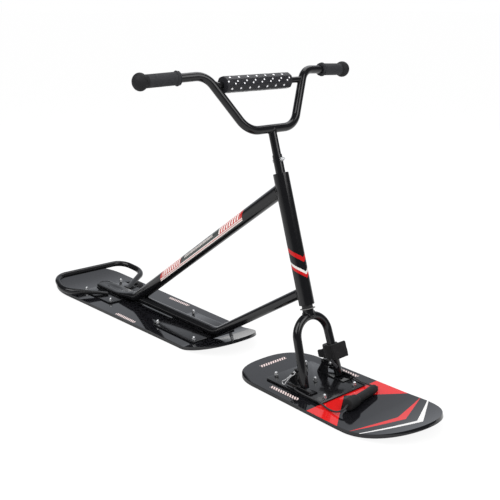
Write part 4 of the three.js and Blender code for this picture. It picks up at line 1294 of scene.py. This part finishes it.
@dataclass
class RearFrame(Assembly):
    """The welded frame: head tube, upper and lower tubes and the grab loop."""

    body: str = "rear_frame"
    slope: float = math.radians(34.83)
    radius: float = 19.0
    join_height: float = 532.0
    pressed_half: tuple[float, float] = (27.5, 7.2)
    press: tuple[float, float] = (-60.0, 112.0)
    widens_first: float = 1.15
    squareness: float = 1.4
    tail_length: float = 213.0
    tip_length: float = 12.0
    bend: float = 120.0
    crease: tuple[float, float, float, float] = (70.0, 186.0, 5.0, 8.5)
    bend_x: float = -862.79
    lower_radius: float = 14.0
    lower_join: float = 262.3
    lower_slope: float = math.radians(31.66)
    weld_wall: float = 20.6

    def upper_middle(self, travel: float) -> Point:
        """Gives the upper tube's middle at a travel from its bend's corner, as x, z and tilt."""
        level = ON_PLATE + self.pressed_half[1]
        setback = self.bend * math.tan(self.slope / 2)
        tilt = self.slope * (1 - share_between(travel, -setback, setback))
        if travel <= -setback:
            return self.bend_x - travel * math.cos(self.slope), level - travel * math.sin(self.slope), tilt
        if travel >= setback:
            return self.bend_x - travel, level, tilt
        x = self.bend_x - (setback - self.bend * math.sin(tilt))
        return x, level + self.bend * (1 - math.cos(tilt)), tilt

    def upper_section(self, travel: float, sides: int) -> list[Vector]:
        """Gives the upper tube's outline at a travel from its bend's corner.

        Args:
            travel: Where the outline lies, in millimetres towards the tail.
            sides: Points round the outline.

        Returns:
            The outline: round, then wide and flat with a crease along its top.
        """
        x, z, tilt = self.upper_middle(travel)
        wide, high = self.pressed_half
        pressed = eased(share_between(travel, *self.press))
        half_height = self.radius + (high - self.radius) * pressed
        half_width = self.radius + (wide - self.radius) * min(1.0, pressed * self.widens_first)
        power = 2 + self.squareness * pressed
        z = max(z, ON_PLATE + half_height * math.cos(tilt))
        low, top, depth, spread = self.crease
        fold = depth * math.sin(math.pi * share_between(travel, low, top))
        tip = max(0.0, (travel - (self.tail_length - self.tip_length)) / self.tip_length)
        drawn = math.sqrt(max(1 - 0.9 * tip * tip, 0.05))
        ring = []
        for i in range(sides):
            angle = 2 * math.pi * i / sides
            sine, cosine = math.sin(angle), math.cos(angle)
            across = half_width * drawn * math.copysign(abs(sine) ** (2 / power), sine)
            over = half_height * math.copysign(abs(cosine) ** (2 / power), cosine)
            if over > 0:
                over -= fold * math.exp(-((across / spread) ** 2))
            ring.append(place(x - over * math.sin(tilt), across, z + over * math.cos(tilt)))
        return ring

    def upper_tube(self) -> bpy.types.Object:
        """Lofts the upper tube from the head tube to its pressed and creased end."""
        level = ON_PLATE + self.pressed_half[1]
        run = (math.cos(RAKE) * self.join_height - level) / math.sin(self.slope)
        travels = [-run + 12, -run + 60, -400, -200]
        travels += [-100 + 300 * i / 60 for i in range(61)]
        travels += [self.tail_length - self.tip_length + self.tip_length * i / 6 for i in range(1, 7)]
        rings = [self.upper_section(travel, 56) for travel in travels]
        piece = loft("main_tube", rings, 2 * math.pi * self.radius * MM)
        smooth(piece, 50)
        return piece

    def lower_line(self) -> Line:
        """Gives the lower tube's line, down to the plates and on along the board."""
        start = raked(0, 0, self.lower_join)
        start_x, start_z = -math.sin(RAKE) * self.lower_join, math.cos(RAKE) * self.lower_join
        level = ON_PLATE + self.lower_radius
        bend_x = start_x - (start_z - level) / math.tan(self.lower_slope)
        lead = (place(bend_x, 0, level) - start).normalized()
        return bent_line([start + lead * (14 * MM), place(bend_x, 0, level), place(-842, 0, level)], [90])

    def head_tube(self) -> bpy.types.Object:
        """Turns the head tube with its softened ends."""
        inner, outer, low, high, edge = 17.3, 20.5, 227.0, 573.0, 0.8
        profile = [
            (inner, low + edge), (inner + edge, low), (outer - edge, low), (outer, low + edge),
            (outer, high - edge), (outer - edge, high), (inner + edge, high), (inner, high - edge),
            (inner, low + edge),
        ]
        return lathe("steering_tube", profile, steering_frame(), 64)

    def grab_loop(self) -> bpy.types.Object:
        """Bends the grab loop behind the rear plate."""
        height = ON_PLATE + 9.85
        half = [place(-978, 40, height), place(-1061, 163, height + 8), place(-1157, 136, height + 29)]
        line = bent_line(half + mirrored(half), [56, 52, 52, 56])
        piece = tube("rear_grab_loop", line, 9.85, 32)
        round_edges(piece, 1.2, 2, 60)
        self.press_ends(piece, 98, 50, 0.44)
        return piece

    def press_ends(self, piece: bpy.types.Object, start: float, full: float, share: float) -> None:
        """Presses a tube's two ends down on the plate.

        Args:
            piece: The tube, mirrored about the middle plane.
            start: The distance from the middle where the pressing starts, in millimetres.
            full: The distance where it is done.
            share: What is left of the height there.
        """
        foot, limit = ON_PLATE * MM, place(-1062, 0, 0).x
        for vertex in piece.data.vertices:
            spot = vertex.co
            if spot.x > limit:
                done = eased(share_between(abs(spot.y), start * MM, full * MM))
                spot.z = foot + (spot.z - foot) * (1 - done * (1 - share))

    def welds(self) -> None:
        """Lays the weld beads of the frame's joints."""
        axis = raked(0, 0, 1000) - raked(0, 0, 0)
        joints = {
            "weld_main_tube": (self.join_height, self.slope, self.radius),
            "weld_down_tube": (self.lower_join, self.lower_slope, self.lower_radius),
        }
        for name, (height, slope, radius) in joints.items():
            down = Vector((-math.cos(slope), 0, -math.sin(slope)))
            line = cope_line(raked(0, 0, height), down, radius, raked(0, 0, 0), axis, self.weld_wall)
            self.coat(bead(name, line, 2.4))
        height = ON_PLATE + 1.2
        for name, (x0, x1, y) in {
            "weld_spine_front": (-650.0, -500.0, 8.4),
            "weld_tail": (-1068.0, -930.0, 26.6),
        }.items():
            for side in Side:
                points = [place(x0 + (x1 - x0) * i / 50, side.value * y, height) for i in range(51)]
                back = [p + Vector((0, side.value * 0.0012, -0.0006)) for p in reversed(points)]
                self.coat(bead(f"{name}_{side.word}", points + back, 1.3, 0.3))

    def build(self) -> None:
        """Builds the frame."""
        self.dress(self.upper_tube(), "frame_tube", "black_paint", "upper_tube")
        down = tube("down_tube", self.lower_line(), self.lower_radius, 36)
        self.coat(down, "lower_tube")
        self.dress(self.head_tube(), "head", "black_paint", "head_tube")
        self.coat(self.grab_loop(), "grab_loop")
        neck = [(13.2, 218.1), (14.5, 218.1), (14.5, 226.7), (13.2, 226.7), (13.2, 218.1)]
        self.dress(lathe("bush_neck", neck, steering_frame()), "bush", "bush_plastic")
        self.keep("lower_bush", "bush")
        self.keep("upper_bush", "bush")
        self.welds()


@dataclass
class Handlebar(Assembly):
    """The bar, its crossbar, pad, grips and stem."""

    radius: float = 11.1
    low_height: float = 689.0
    top_height: float = 838.0
    crossbar_height: float = 812.0
    crossbar_back: float = 10.48
    upright_foot: Span = (0.0, 79.8)
    bar_corner: Span = (-12.7, 168.5)
    bar_end: Span = (-36.8, 342.0)
    pad_shift: float = -13.0
    pad_half: float = 112.0
    pad_flat: float = 20.0
    pad_bore: float = 8.25
    pad_face: float = 16.58
    grip_start: float = 241.0
    grip_end: float = 364.5

    def corners(self) -> list[Vector]:
        """Lists the bar's corners from the left end to the right one."""
        half = [
            raked(*self.bar_end, self.top_height),
            raked(*self.bar_corner, self.top_height),
            raked(*self.upright_foot, self.low_height),
        ]
        return half + mirrored(half)

    def crossbar_half(self) -> float:
        """Gives the half length of the crossbar."""
        low, high = self.upright_foot[1], self.bar_corner[1]
        return low + (high - low) * share_between(self.crossbar_height, self.low_height, self.top_height)

    def pad_reach(self, size: float, sway: float, angle: float) -> float:
        """Gives how far the pad's skin lies from its axis.

        Args:
            size: The pad's half width there, or its bore's radius.
            sway: How much its faces swell there.
            angle: The direction round the axis.

        Returns:
            The distance in millimetres.
        """
        if size <= self.pad_bore:
            return size
        off = (angle + math.pi / 8) % (math.pi / 4) - math.pi / 8
        corner = abs(off) / (math.pi / 8)
        reach = size * ((1 - 0.012 * corner**8) / math.cos(off))
        if size > self.pad_flat - 1:
            reach += 0.25 * (1 - corner**2) + sway * 0.6
        return reach

    def pad(self) -> bpy.types.Object:
        """Lofts the eight-sided foam pad with crowned faces and drawn-in ends."""
        half, flat = self.pad_half, self.pad_flat
        runs = [(0.0, self.pad_bore), (0.1, 13.5), (0.3, 18.4), (0.9, 19.3), (1.9, 19.8), (3.0, flat)]
        middle = [(3.0 + (2 * half - 6.0) * i / 26, flat) for i in range(1, 26)]
        ends = [(2 * half - along, size) for along, size in reversed(runs)]
        rings = []
        for along, size in runs + middle + ends:
            sway = 0.25 * math.sin(along * 0.11) + 0.15 * math.sin(along * 0.31 + 1)
            shift = Vector((0, (along - half + self.pad_shift) * MM, 0))
            ring = []
            for i in range(64):
                angle = 2 * math.pi * i / 64
                reach = self.pad_reach(size, sway, angle)
                forward, up = reach * math.cos(angle), reach * math.sin(angle)
                spot = raked(-self.crossbar_back + forward, 0, self.crossbar_height + up)
                ring.append(spot + shift)
            rings.append(ring)
        piece = loft("bar_pad", rings, 8 * self.pad_face * MM)
        smooth(piece, 17)
        return piece

    def grip(self, side: Side) -> bpy.types.Object:
        """Turns a grip with its double lip, ribbed body and ball end."""
        start, end = self.grip_start, self.grip_end
        lips = [
            (11.2, 0.6), (16.2, 0.0), (17.3, 0.8), (17.3, 2.6), (16.2, 3.4),
            (16.4, 4.6), (18.2, 5.4), (18.9, 7.2), (18.2, 9.0), (16.3, 10.0),
        ]
        profile = [(radius, start + along) for radius, along in lips]
        first, last, ribs = start + 12, end - 33.5, 30
        for i in range(ribs):
            profile.append((16.25 - 0.22 * (i % 2), first + (last - first) * i / (ribs - 1)))
        ball_half, ball_radius, rows = 19.0, 21.8, 16
        neck = math.asin(16.2 / ball_radius)
        for row in range(rows + 1):
            angle = (math.pi - neck) * (1 - row / rows)
            radius = max(ball_radius * math.sin(angle), 0.0)
            profile.append((radius, end - ball_half + ball_half * math.cos(angle)))
        inner, outer = (
            raked(back, side.value * across, self.top_height)
            for back, across in (self.bar_corner, self.bar_end)
        )
        heading = (outer - inner).normalized()
        frame = axis_frame(outer - heading * (self.bar_end[1] * MM), heading)
        return lathe(f"bar_grip_{side.word}", profile, frame, 56)

    def stem(self) -> None:
        """Builds the stem tube with its bolt and dome nut."""
        low, high = 559.0, self.low_height - 9
        line = bent_line([raked(0, 0, low), raked(0, 0, high)], [])
        self.coat(tube("bar_stem", line, self.radius), "stem_tube")
        seat, height = 13.0, 607.0
        forward = raked(1, 0, 0) - raked(0, 0, 0)
        frame = axis_frame(raked(seat, 0, height), forward)
        nut = Decks(self.nodes, self.finishes).dome_nut("stem_cap_nut", frame)
        self.dress(nut, "zinc", "zinc", "stem_dome_nut")
        head = [(0, -4.2), (3.2, -4.1), (5.0, -3.4), (5.6, -2.2), (5.6, 0), (3, 0), (3, 26), (0, 26)]
        bolt = lathe("stem_through_bolt", head, axis_frame(raked(-seat, 0, height), forward))
        self.dress(bolt, "zinc", "zinc", "stem_bolt")
        joint = raked(0, 0, self.low_height)
        across = raked(0, 1, self.low_height) - joint
        down = raked(0, 0, 0) - raked(0, 0, 1)
        seam = cope_line(joint, down, self.radius, joint, across, self.radius)
        self.coat(bead("weld_stem", seam, 1.8))

    def build(self) -> None:
        """Builds the bar and all that it carries."""
        bar = tube("bar_tube", bent_line(self.corners(), [52, 62, 62, 52], 16), self.radius)
        self.coat(bar, "handlebar")
        reach = self.crossbar_half() - 4
        ends = [raked(-self.crossbar_back, y, self.crossbar_height) for y in (-reach, reach)]
        cross = tube("bar_brace", bent_line(ends, []), 8.0, 32)
        self.coat(cross, "crossbar")
        upright = raked(*self.upright_foot, self.low_height)
        rise = raked(*self.bar_corner, self.top_height) - upright
        for side in Side:
            out = Vector((0, -side.value, 0))
            foot = Vector((upright.x, side.value * upright.y, upright.z))
            axis = Vector((rise.x, side.value * rise.y, rise.z))
            end = raked(-self.crossbar_back, side.value * self.crossbar_half(), self.crossbar_height)
            seam = cope_line(end, out, 8.0, foot, axis, self.radius)
            self.coat(bead(f"weld_brace_{side.word}", seam, 1.6))
            self.dress(self.grip(side), "rubber", "grip_rubber", f"grip_{side.word}")
        pad = self.dress(self.pad(), "pad", "pad_cloth", "crossbar_pad")
        self.stem()


@dataclass
class Fork(Assembly):
    """The steerer, the arched legs and the fitting that locks them to the ski."""

    tube_radius: float = 11.25
    arch_top: float = 197.0
    arch_half: float = 56.0
    arch_height: float = 52.0
    arch_steps: int = 40
    foot_half: float = 63.5
    foot_along: float = 22.2
    crown_weld: float = 14.6
    link_inner: float = 45.97
    pin_length: float = 72.0
    pin: tuple[float, float] = (-48.0, 50.0)
    rivet: tuple[float, float] = (-23.0, 54.0)

    def legs(self) -> bpy.types.Object:
        """Bends the two legs from one arched tube."""
        spring = self.arch_top - self.arch_height
        knee = (spring + self.foot_along) / 2 + 8
        points = [raked(0, -self.foot_half, self.foot_along), raked(0, -self.arch_half - 3, knee)]
        for i in range(self.arch_steps + 1):
            angle = math.pi * i / self.arch_steps
            across, rise = -self.arch_half * math.cos(angle), self.arch_height * math.sin(angle)
            points.append(raked(0, across, spring + rise))
        points += mirrored(points[:2])
        rings = tube_rings(line_through(points), self.tube_radius)
        piece = loft("fork_arch", rings, 2 * math.pi * self.tube_radius * MM)
        round_edges(piece, 0.8, 2, 60)
        return piece

    def crown(self) -> None:
        """Builds the steerer, the collar, the washer and the weld on the arch."""
        steerer = [
            (11.4, 205), (12.7, 205), (12.7, 620.4), (12.1, 621), (11.9, 621), (11.4, 620.4), (11.4, 205),
        ]
        self.coat(lathe("steerer_tube", steerer, steering_frame()), "fork_steerer")
        collar = [(13.0, 202), (14.75, 202), (14.75, 215.2), (14.2, 215.8), (13.0, 215.8), (13.0, 202)]
        self.coat(lathe("crown_ring", collar, steering_frame()), "fork_collar")
        washer = [
            (13.2, 216.2), (20.1, 216.2), (20.5, 216.6), (20.5, 217.3), (20.1, 217.7), (13.2, 217.7),
            (13.2, 216.2),
        ]
        piece = lathe("glide_washer", washer, steering_frame())
        self.dress(piece, "washer", "washer_plastic", "thrust_washer")
        across = raked(0, 1, 0) - raked(0, 0, 0)
        up = raked(0, 0, 1) - raked(0, 0, 0)
        top, seat = raked(0, 0, self.arch_top), raked(0, 0, self.arch_top - 1)
        line = cope_line(top, up, self.crown_weld, seat, across, self.tube_radius + 1.2)
        self.coat(bead("weld_crown", line, 2.6))

    def fitting(self, side: Side) -> None:
        """Builds one side's bracket, link, rivet, pin and clip."""
        word, sign = side.word, side.value
        bracket = refined(f"socket_{word}", self.nodes[f"socket_bracket_{word}"], 0.7)
        self.coat(bracket, f"socket_bracket_{word}")
        link = refined(f"lock_link_{word}", self.nodes[f"fork_link_{word}"], 0.5)
        self.coat(link, f"fork_link_{word}")
        inward = Vector((0, sign, 0))
        seat = self.link_inner - GAP
        dome = [(0, -2.6), (1.6, -2.5), (3.2, -2.0), (4.4, -1.2), (5.0, 0), (3, 0), (3, 10), (0, 10)]
        frame = axis_frame(place(self.rivet[0], sign * seat, self.rivet[1]), inward)
        self.dress(lathe(f"rivet_{word}", dome, frame, 32), "zinc", "zinc", f"link_rivet_{word}")
        self.body = f"pin_{word}"
        tip = self.pin_length - seat
        head = [(0, -3), (4.9, -3), (5.5, -2.4), (5.5, 0), (3.2, 0), (3.2, tip - 0.8), (2.4, tip), (0, tip)]
        frame = axis_frame(place(self.pin[0], sign * seat, self.pin[1]), inward)
        self.coat(lathe(f"lock_pin_{word}", head, frame, 32), f"clevis_pin_{word}")
        self.dress(self.clip(side), "spring", "spring_steel", f"r_clip_{word}")
        self.body = "fork"

    def clip(self, side: Side) -> bpy.types.Object:
        """Bends the spring clip from one wire: a straight leg, a ring and a waved leg."""
        wire, ring_radius, leg, tip, pin_radius = 1.2, 5.0, 36.0, 9.0, 3.2
        over = -(pin_radius + GAP + wire)
        opening = math.radians(55)
        turn = 2 * (math.pi - opening)
        ring = []
        for i in range(13):
            angle = opening + turn * i / 12
            ring.append((-leg + ring_radius * math.cos(angle), over / 2 + ring_radius * math.sin(angle)))
        waves = ((-2.6, 0.62), (-1, 0.93), (0, 1.02), (1, 0.93), (2, 0.62))
        wave = [(pin_radius * along, over * up) for along, up in waves]
        neck = -leg + ring_radius * 2
        shape = [(tip, 0.0), (0.0, 0.0), (neck, 0.0), *ring, (neck, over), *wave, (tip, over)]
        turned = Matrix.Rotation(-math.radians(52), 4, "Y") @ Matrix.Rotation(-math.radians(20), 4, "Z")
        points = []
        for x, z in shape:
            local = turned @ Vector((x, 0, z))
            points.append(place(self.pin[0] + local.x, side.value * (68 + local.y), self.pin[1] + local.z))
        return tube(f"spring_clip_{side.word}", line_through(rounded_line(points, 5)), wire, 12, 60)

    def build(self) -> None:
        """Builds the fork and its fittings."""
        self.coat(self.legs(), "fork_legs")
        self.crown()
        for side in Side:
            self.fitting(side)


@dataclass
class Leash(Assembly):
    """The padded cuff round the left leg and its webbing."""

    def cuff(self) -> bpy.types.Object:
        """Turns the cuff's plain solid into soft padding with rounded edges and folds."""
        piece = refined("ankle_cuff", self.nodes["leash_cuff"], 1.2)
        modify(piece, "REMESH", mode="VOXEL", voxel_size=0.0016, use_smooth_shade=True)
        modify(piece, "SMOOTH", factor=0.6, iterations=5)
        clouds = bpy.data.textures.new("cuff_folds", "CLOUDS")
        clouds.noise_scale = 0.018
        modify(piece, "DISPLACE", texture=clouds, strength=0.0018, mid_level=0.45)
        modify(piece, "SMOOTH", factor=0.4, iterations=2)
        smooth(piece, 80)
        return piece

    def build(self) -> None:
        """Builds the cuff and its strap."""
        cuff = self.dress(self.cuff(), "cuff", "cuff_cloth", "leash_cuff")
        strap = refined("cuff_strap", self.nodes["leash_webbing"], 0.4)
        self.dress(strap, "strap", "cuff_cloth", "leash_webbing")


@dataclass
class TowLoop(Assembly):
    """The tow handle and its two lengths of rope."""

    body: str = "tow_loop"
    rope_radius: float = 2.3
    knot_radius: float = 1.7
    knot_back: float = 4.9
    handle_middle: Span = (122.35, 6.6)
    handle_turn: float = math.radians(11.5)
    anchor: Point = (-26.0, 76.4, 21.5)
    lengths: dict[Side, float] = field(default_factory=lambda: {Side.RIGHT: 0.201, Side.LEFT: 0.158})
    right: tuple[Point, ...] = (
        (-26, -79, 21.5), (-24.6, -83, 21.3), (-20, -85.2, 20.6), (-11, -85.6, 19.4), (2, -85, 18.0),
        (20, -84.6, 17.1), (44, -84.8, 16.9), (64, -85.6, 16.8), (80, -87, 14.6), (98, -89.6, 13.2),
        (114, -91, 13.8), (127, -90.6, 16.2), (136, -87, 19.6), (140.2, -80, 22.8), (139.8, -72.4, 25.4),
        (137.4, -66, 26.9), (136.1, -60.15, 26.95),
    )
    left: tuple[Point, ...] = (
        (-26, 79, 21.5), (-24.4, 83.4, 21.3), (-19, 87.4, 20.4), (-8, 89.8, 19.0), (8, 90.6, 17.6),
        (24, 89, 17.0), (42, 84.6, 16.9), (58, 82.4, 16.8), (70, 84.6, 16.6), (80, 88.6, 14.6),
        (91, 91, 14.4), (100, 90.4, 16.4), (106, 86.2, 19), (107.7, 79.6, 20.8), (108.78, 73.4, 20.8),
    )

    def rope(self, side: Side) -> bpy.types.Object:
        """Runs the rope from the bracket's wall to the handle's end."""
        x, y, z = self.anchor
        points = self.right if side is Side.RIGHT else self.left
        route = [place(x, side.value * y, z)] + [place(*p) for p in points]
        line = rounded_line(route, 7)
        piece = tube(f"pull_rope_{side.word}", line_through(line), self.rope_radius, 14, 60)
        self.dress(piece, "braid", "cord_black", f"tow_rope_{side.word}")
        length = sum((b - a).length for a, b in zip(line, line[1:]))
        LOG.info("%s: %.4f m long", piece.name, length)
        self.knot(side)
        return piece

    def knot(self, side: Side) -> bpy.types.Object:
        """Ties the stopper knot behind the bracket's wall."""
        x, y, z = self.anchor
        middle = place(x, side.value * (y - self.knot_back), z)
        turns, steps = 3, 96
        points = []
        for i in range(steps):
            angle = 2 * math.pi * i / steps
            reach = 2.3 + 0.9 * math.cos(turns * angle)
            swing = 1.5 * math.sin(turns * angle)
            loop = Vector((reach * math.cos(2 * angle), swing, reach * math.sin(2 * angle)))
            points.append(middle + loop * MM)
        twist = tube(f"stopper_knot_{side.word}", line_through(points), self.knot_radius, 10, 60)
        return self.dress(twist, "braid", "cord_black")

    def handle(self) -> bpy.types.Object:
        """Turns the foam handle, thicker at its right end."""
        half, thin, thick, long_part, shoulder = 67.75, 11.0, 15.5, 36.0, 9.0
        rows = [(0, 0), (2.6, 0), (3.2, 0.6), (11.2, 0), (13.6, 0.6), (15.1, 2.2), (thick, 4.4)]
        rows += [(thick - 0.35 * (i % 2), 6 + i * 2.0) for i in range(15)]
        rows += [(thick, long_part)]
        for i in range(1, 9):
            rows.append((thick + (thin - thick) * eased(i / 8), long_part + shoulder * i / 8))
        profile = [(radius, along - half) for radius, along in rows]
        last = [(thin, 4), (thin - 0.5, 2), (thin - 1.8, 0.6), (thin - 3.4, 0), (2.8, 0), (2.6, 0.5), (0, 0)]
        profile += [(radius, half - inset) for radius, inset in last]
        tilt = math.asin((thick - thin) / (2 * half - long_part))
        height = BOARD_TOP + GAP + thin / math.cos(tilt) + half * math.sin(tilt)
        turn = Matrix.Rotation(self.handle_turn, 4, "Z") @ Matrix.Rotation(-tilt - math.pi / 2, 4, "X")
        frame = Matrix.Translation(place(*self.handle_middle, height)) @ turn
        return lathe("pull_handle", profile, frame, 56)

    def build(self) -> None:
        """Builds the handle and both ropes."""
        for side in Side:
            self.rope(side)
        self.dress(self.handle(), "foam", "grip_rubber", "tow_handle")


@dataclass(frozen=True)
class Lamp:
    """A soft square lamp that looks at the scooter, placed by angles in degrees."""

    name: str
    azimuth: float
    elevation: float
    distance: float
    size: float
    watts: float

    def hang(self) -> bpy.types.Object:
        """Hangs the lamp."""
        azimuth, elevation = math.radians(self.azimuth), math.radians(self.elevation)
        back = away(azimuth, elevation)
        bpy.ops.object.light_add(type="AREA", location=Vector((0, 0, LOOKED_AT)) + back * self.distance)
        lamp = bpy.context.active_object
        lamp.name = self.name
        lamp.data.shape = "SQUARE"
        lamp.data.size = self.size
        lamp.data.energy = self.watts
        lamp.rotation_euler = back.to_track_quat("Z", "Y").to_euler()
        return lamp


def away(azimuth: float, elevation: float) -> Vector:
    """Gives the direction away from the scooter at an azimuth from its right side, in radians."""
    level = math.cos(elevation)
    return Vector((math.sin(azimuth) * level, -math.cos(azimuth) * level, math.sin(elevation)))


def new_tree(block: bpy.types.ID) -> bpy.types.NodeTree:
    """Gives the nodes of a new world or material."""
    block.use_nodes = True
    return block.node_tree


def link_all(tree: bpy.types.NodeTree, *pairs: tuple[bpy.types.NodeSocket, bpy.types.NodeSocket]) -> None:
    """Links each pair's first socket to its second."""
    for source, target in pairs:
        tree.links.new(source, target)


@dataclass
class Studio:
    """The camera, the lamps, the floor and the white surround."""

    place_of_camera: Point = (1.81915, -1.4674, 0.9545)
    azimuth: float = math.radians(48.56)
    elevation: float = math.radians(16.11)
    roll: float = math.radians(0.24)
    lens: float = 839.9 / 500 * 36
    mirrored: float = 0.11
    mirrored_tint: Point = (0.90, 0.935, 1.0)
    backdrop_size: tuple[float, float] = (8.0, 3.4)
    backdrop_watts: float = 46.0
    floor_tone: float = 0.5
    floor_seen: float = 0.95
    floor_glow: float = 0.9
    lamps: tuple[Lamp, ...] = (
        Lamp("key_lamp", azimuth=8, elevation=50, distance=3.2, size=2.6, watts=70),
        Lamp("fill_lamp", azimuth=104, elevation=38, distance=3.4, size=2.2, watts=44),
        Lamp("back_lamp", azimuth=205, elevation=60, distance=3.4, size=2.4, watts=34),
    )

    def camera(self) -> None:
        """Stands the camera where the photograph was taken from."""
        bpy.ops.object.camera_add()
        camera = bpy.context.active_object
        camera.name = "photo_camera"
        back = away(self.azimuth, self.elevation)
        level = Vector((math.cos(self.azimuth), math.sin(self.azimuth), 0))
        above = back.cross(level)
        right = level * math.cos(self.roll) + above * math.sin(self.roll)
        up = back.cross(right)
        axes = Matrix((right, up, back)).transposed().to_4x4()
        camera.matrix_world = Matrix.Translation(self.place_of_camera) @ axes
        camera.data.lens = self.lens
        camera.data.sensor_width = 36
        camera.data.clip_end = 500
        bpy.context.scene.camera = camera

    def backdrop(self) -> None:
        """Stands a softly lit backdrop behind the scooter, for the gloss to mirror."""
        behind = math.degrees(self.azimuth) + 180
        lamp = Lamp("backdrop_lamp", behind, 18, 4.2, self.backdrop_size[0], self.backdrop_watts).hang()
        lamp.data.shape = "RECTANGLE"
        lamp.data.size_y = self.backdrop_size[1]
        lamp.data.color = self.mirrored_tint
        lamp.visible_camera = False

    def world(self) -> None:
        """Surrounds the scooter with a plain white studio, darker and bluer where it is mirrored."""
        world = bpy.data.worlds.new("studio")
        bpy.context.scene.world = world
        tree = new_tree(world)
        background = tree.nodes["Background"]
        rays = tree.nodes.new("ShaderNodeLightPath")
        tint = tree.nodes.new("ShaderNodeMix")
        tint.data_type = "RGBA"
        for index, colour in zip(MIX_COLOURS, ((1, 1, 1), self.mirrored_tint)):
            tint.inputs[index].default_value = (*colour, 1)
        level = tree.nodes.new("ShaderNodeMapRange")
        level.inputs["To Min"].default_value = 1.0
        level.inputs["To Max"].default_value = self.mirrored
        mirrored = rays.outputs["Is Glossy Ray"]
        link_all(
            tree,
            (mirrored, tint.inputs["Factor"]),
            (tint.outputs[MIX_RESULT], background.inputs["Color"]),
            (mirrored, level.inputs["Value"]),
            (level.outputs[0], background.inputs["Strength"]),
        )

    def floor(self) -> None:
        """Lays the white floor, which keeps a faint shadow."""
        bpy.ops.mesh.primitive_plane_add(size=400, location=(0, 0, -0.0006))
        floor = take("studio_floor")
        material = bpy.data.materials.new("white_floor")
        tree = new_tree(material)
        tree.nodes.clear()
        output, mix, matte, glow, rays, tone, share = (
            tree.nodes.new("ShaderNode" + kind)
            for kind in (
                "OutputMaterial", "MixShader", "BsdfDiffuse", "Emission", "LightPath", "MapRange", "Math",
            )
        )
        share.operation = "MULTIPLY"
        share.inputs[1].default_value = self.floor_glow
        tone.inputs["To Min"].default_value = self.floor_tone
        tone.inputs["To Max"].default_value = self.floor_seen
        glow.inputs["Strength"].default_value = 1.0
        seen = rays.outputs["Is Camera Ray"]
        link_all(
            tree,
            (seen, tone.inputs["Value"]),
            (tone.outputs[0], matte.inputs["Color"]),
            (seen, share.inputs[0]),
            (share.outputs[0], mix.inputs[0]),
            (matte.outputs[0], mix.inputs[1]),
            (glow.outputs[0], mix.inputs[2]),
            (mix.outputs[0], output.inputs[0]),
        )
        floor.data.materials.append(material)

    def build(self) -> None:
        """Sets up the whole studio."""
        self.camera()
        self.floor()
        self.world()
        for lamp in self.lamps:
            lamp.hang()
        self.backdrop()
        bpy.context.scene.view_settings.view_transform = "Standard"


def main() -> None:
    """Builds the scene in order and reports each piece."""
    logging.basicConfig(level=logging.INFO, format="%(message)s")
    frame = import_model()
    nodes = frame["nodes"]
    Studio().build()
    finishes = Finishes()
    for assembly in (TowLoop, Decks, RearFrame, Handlebar, Fork, Leash):
        assembly(nodes, finishes).build()
        LOG.info("%s done", assembly.__name__)


if __name__ == "__main__":
    main()
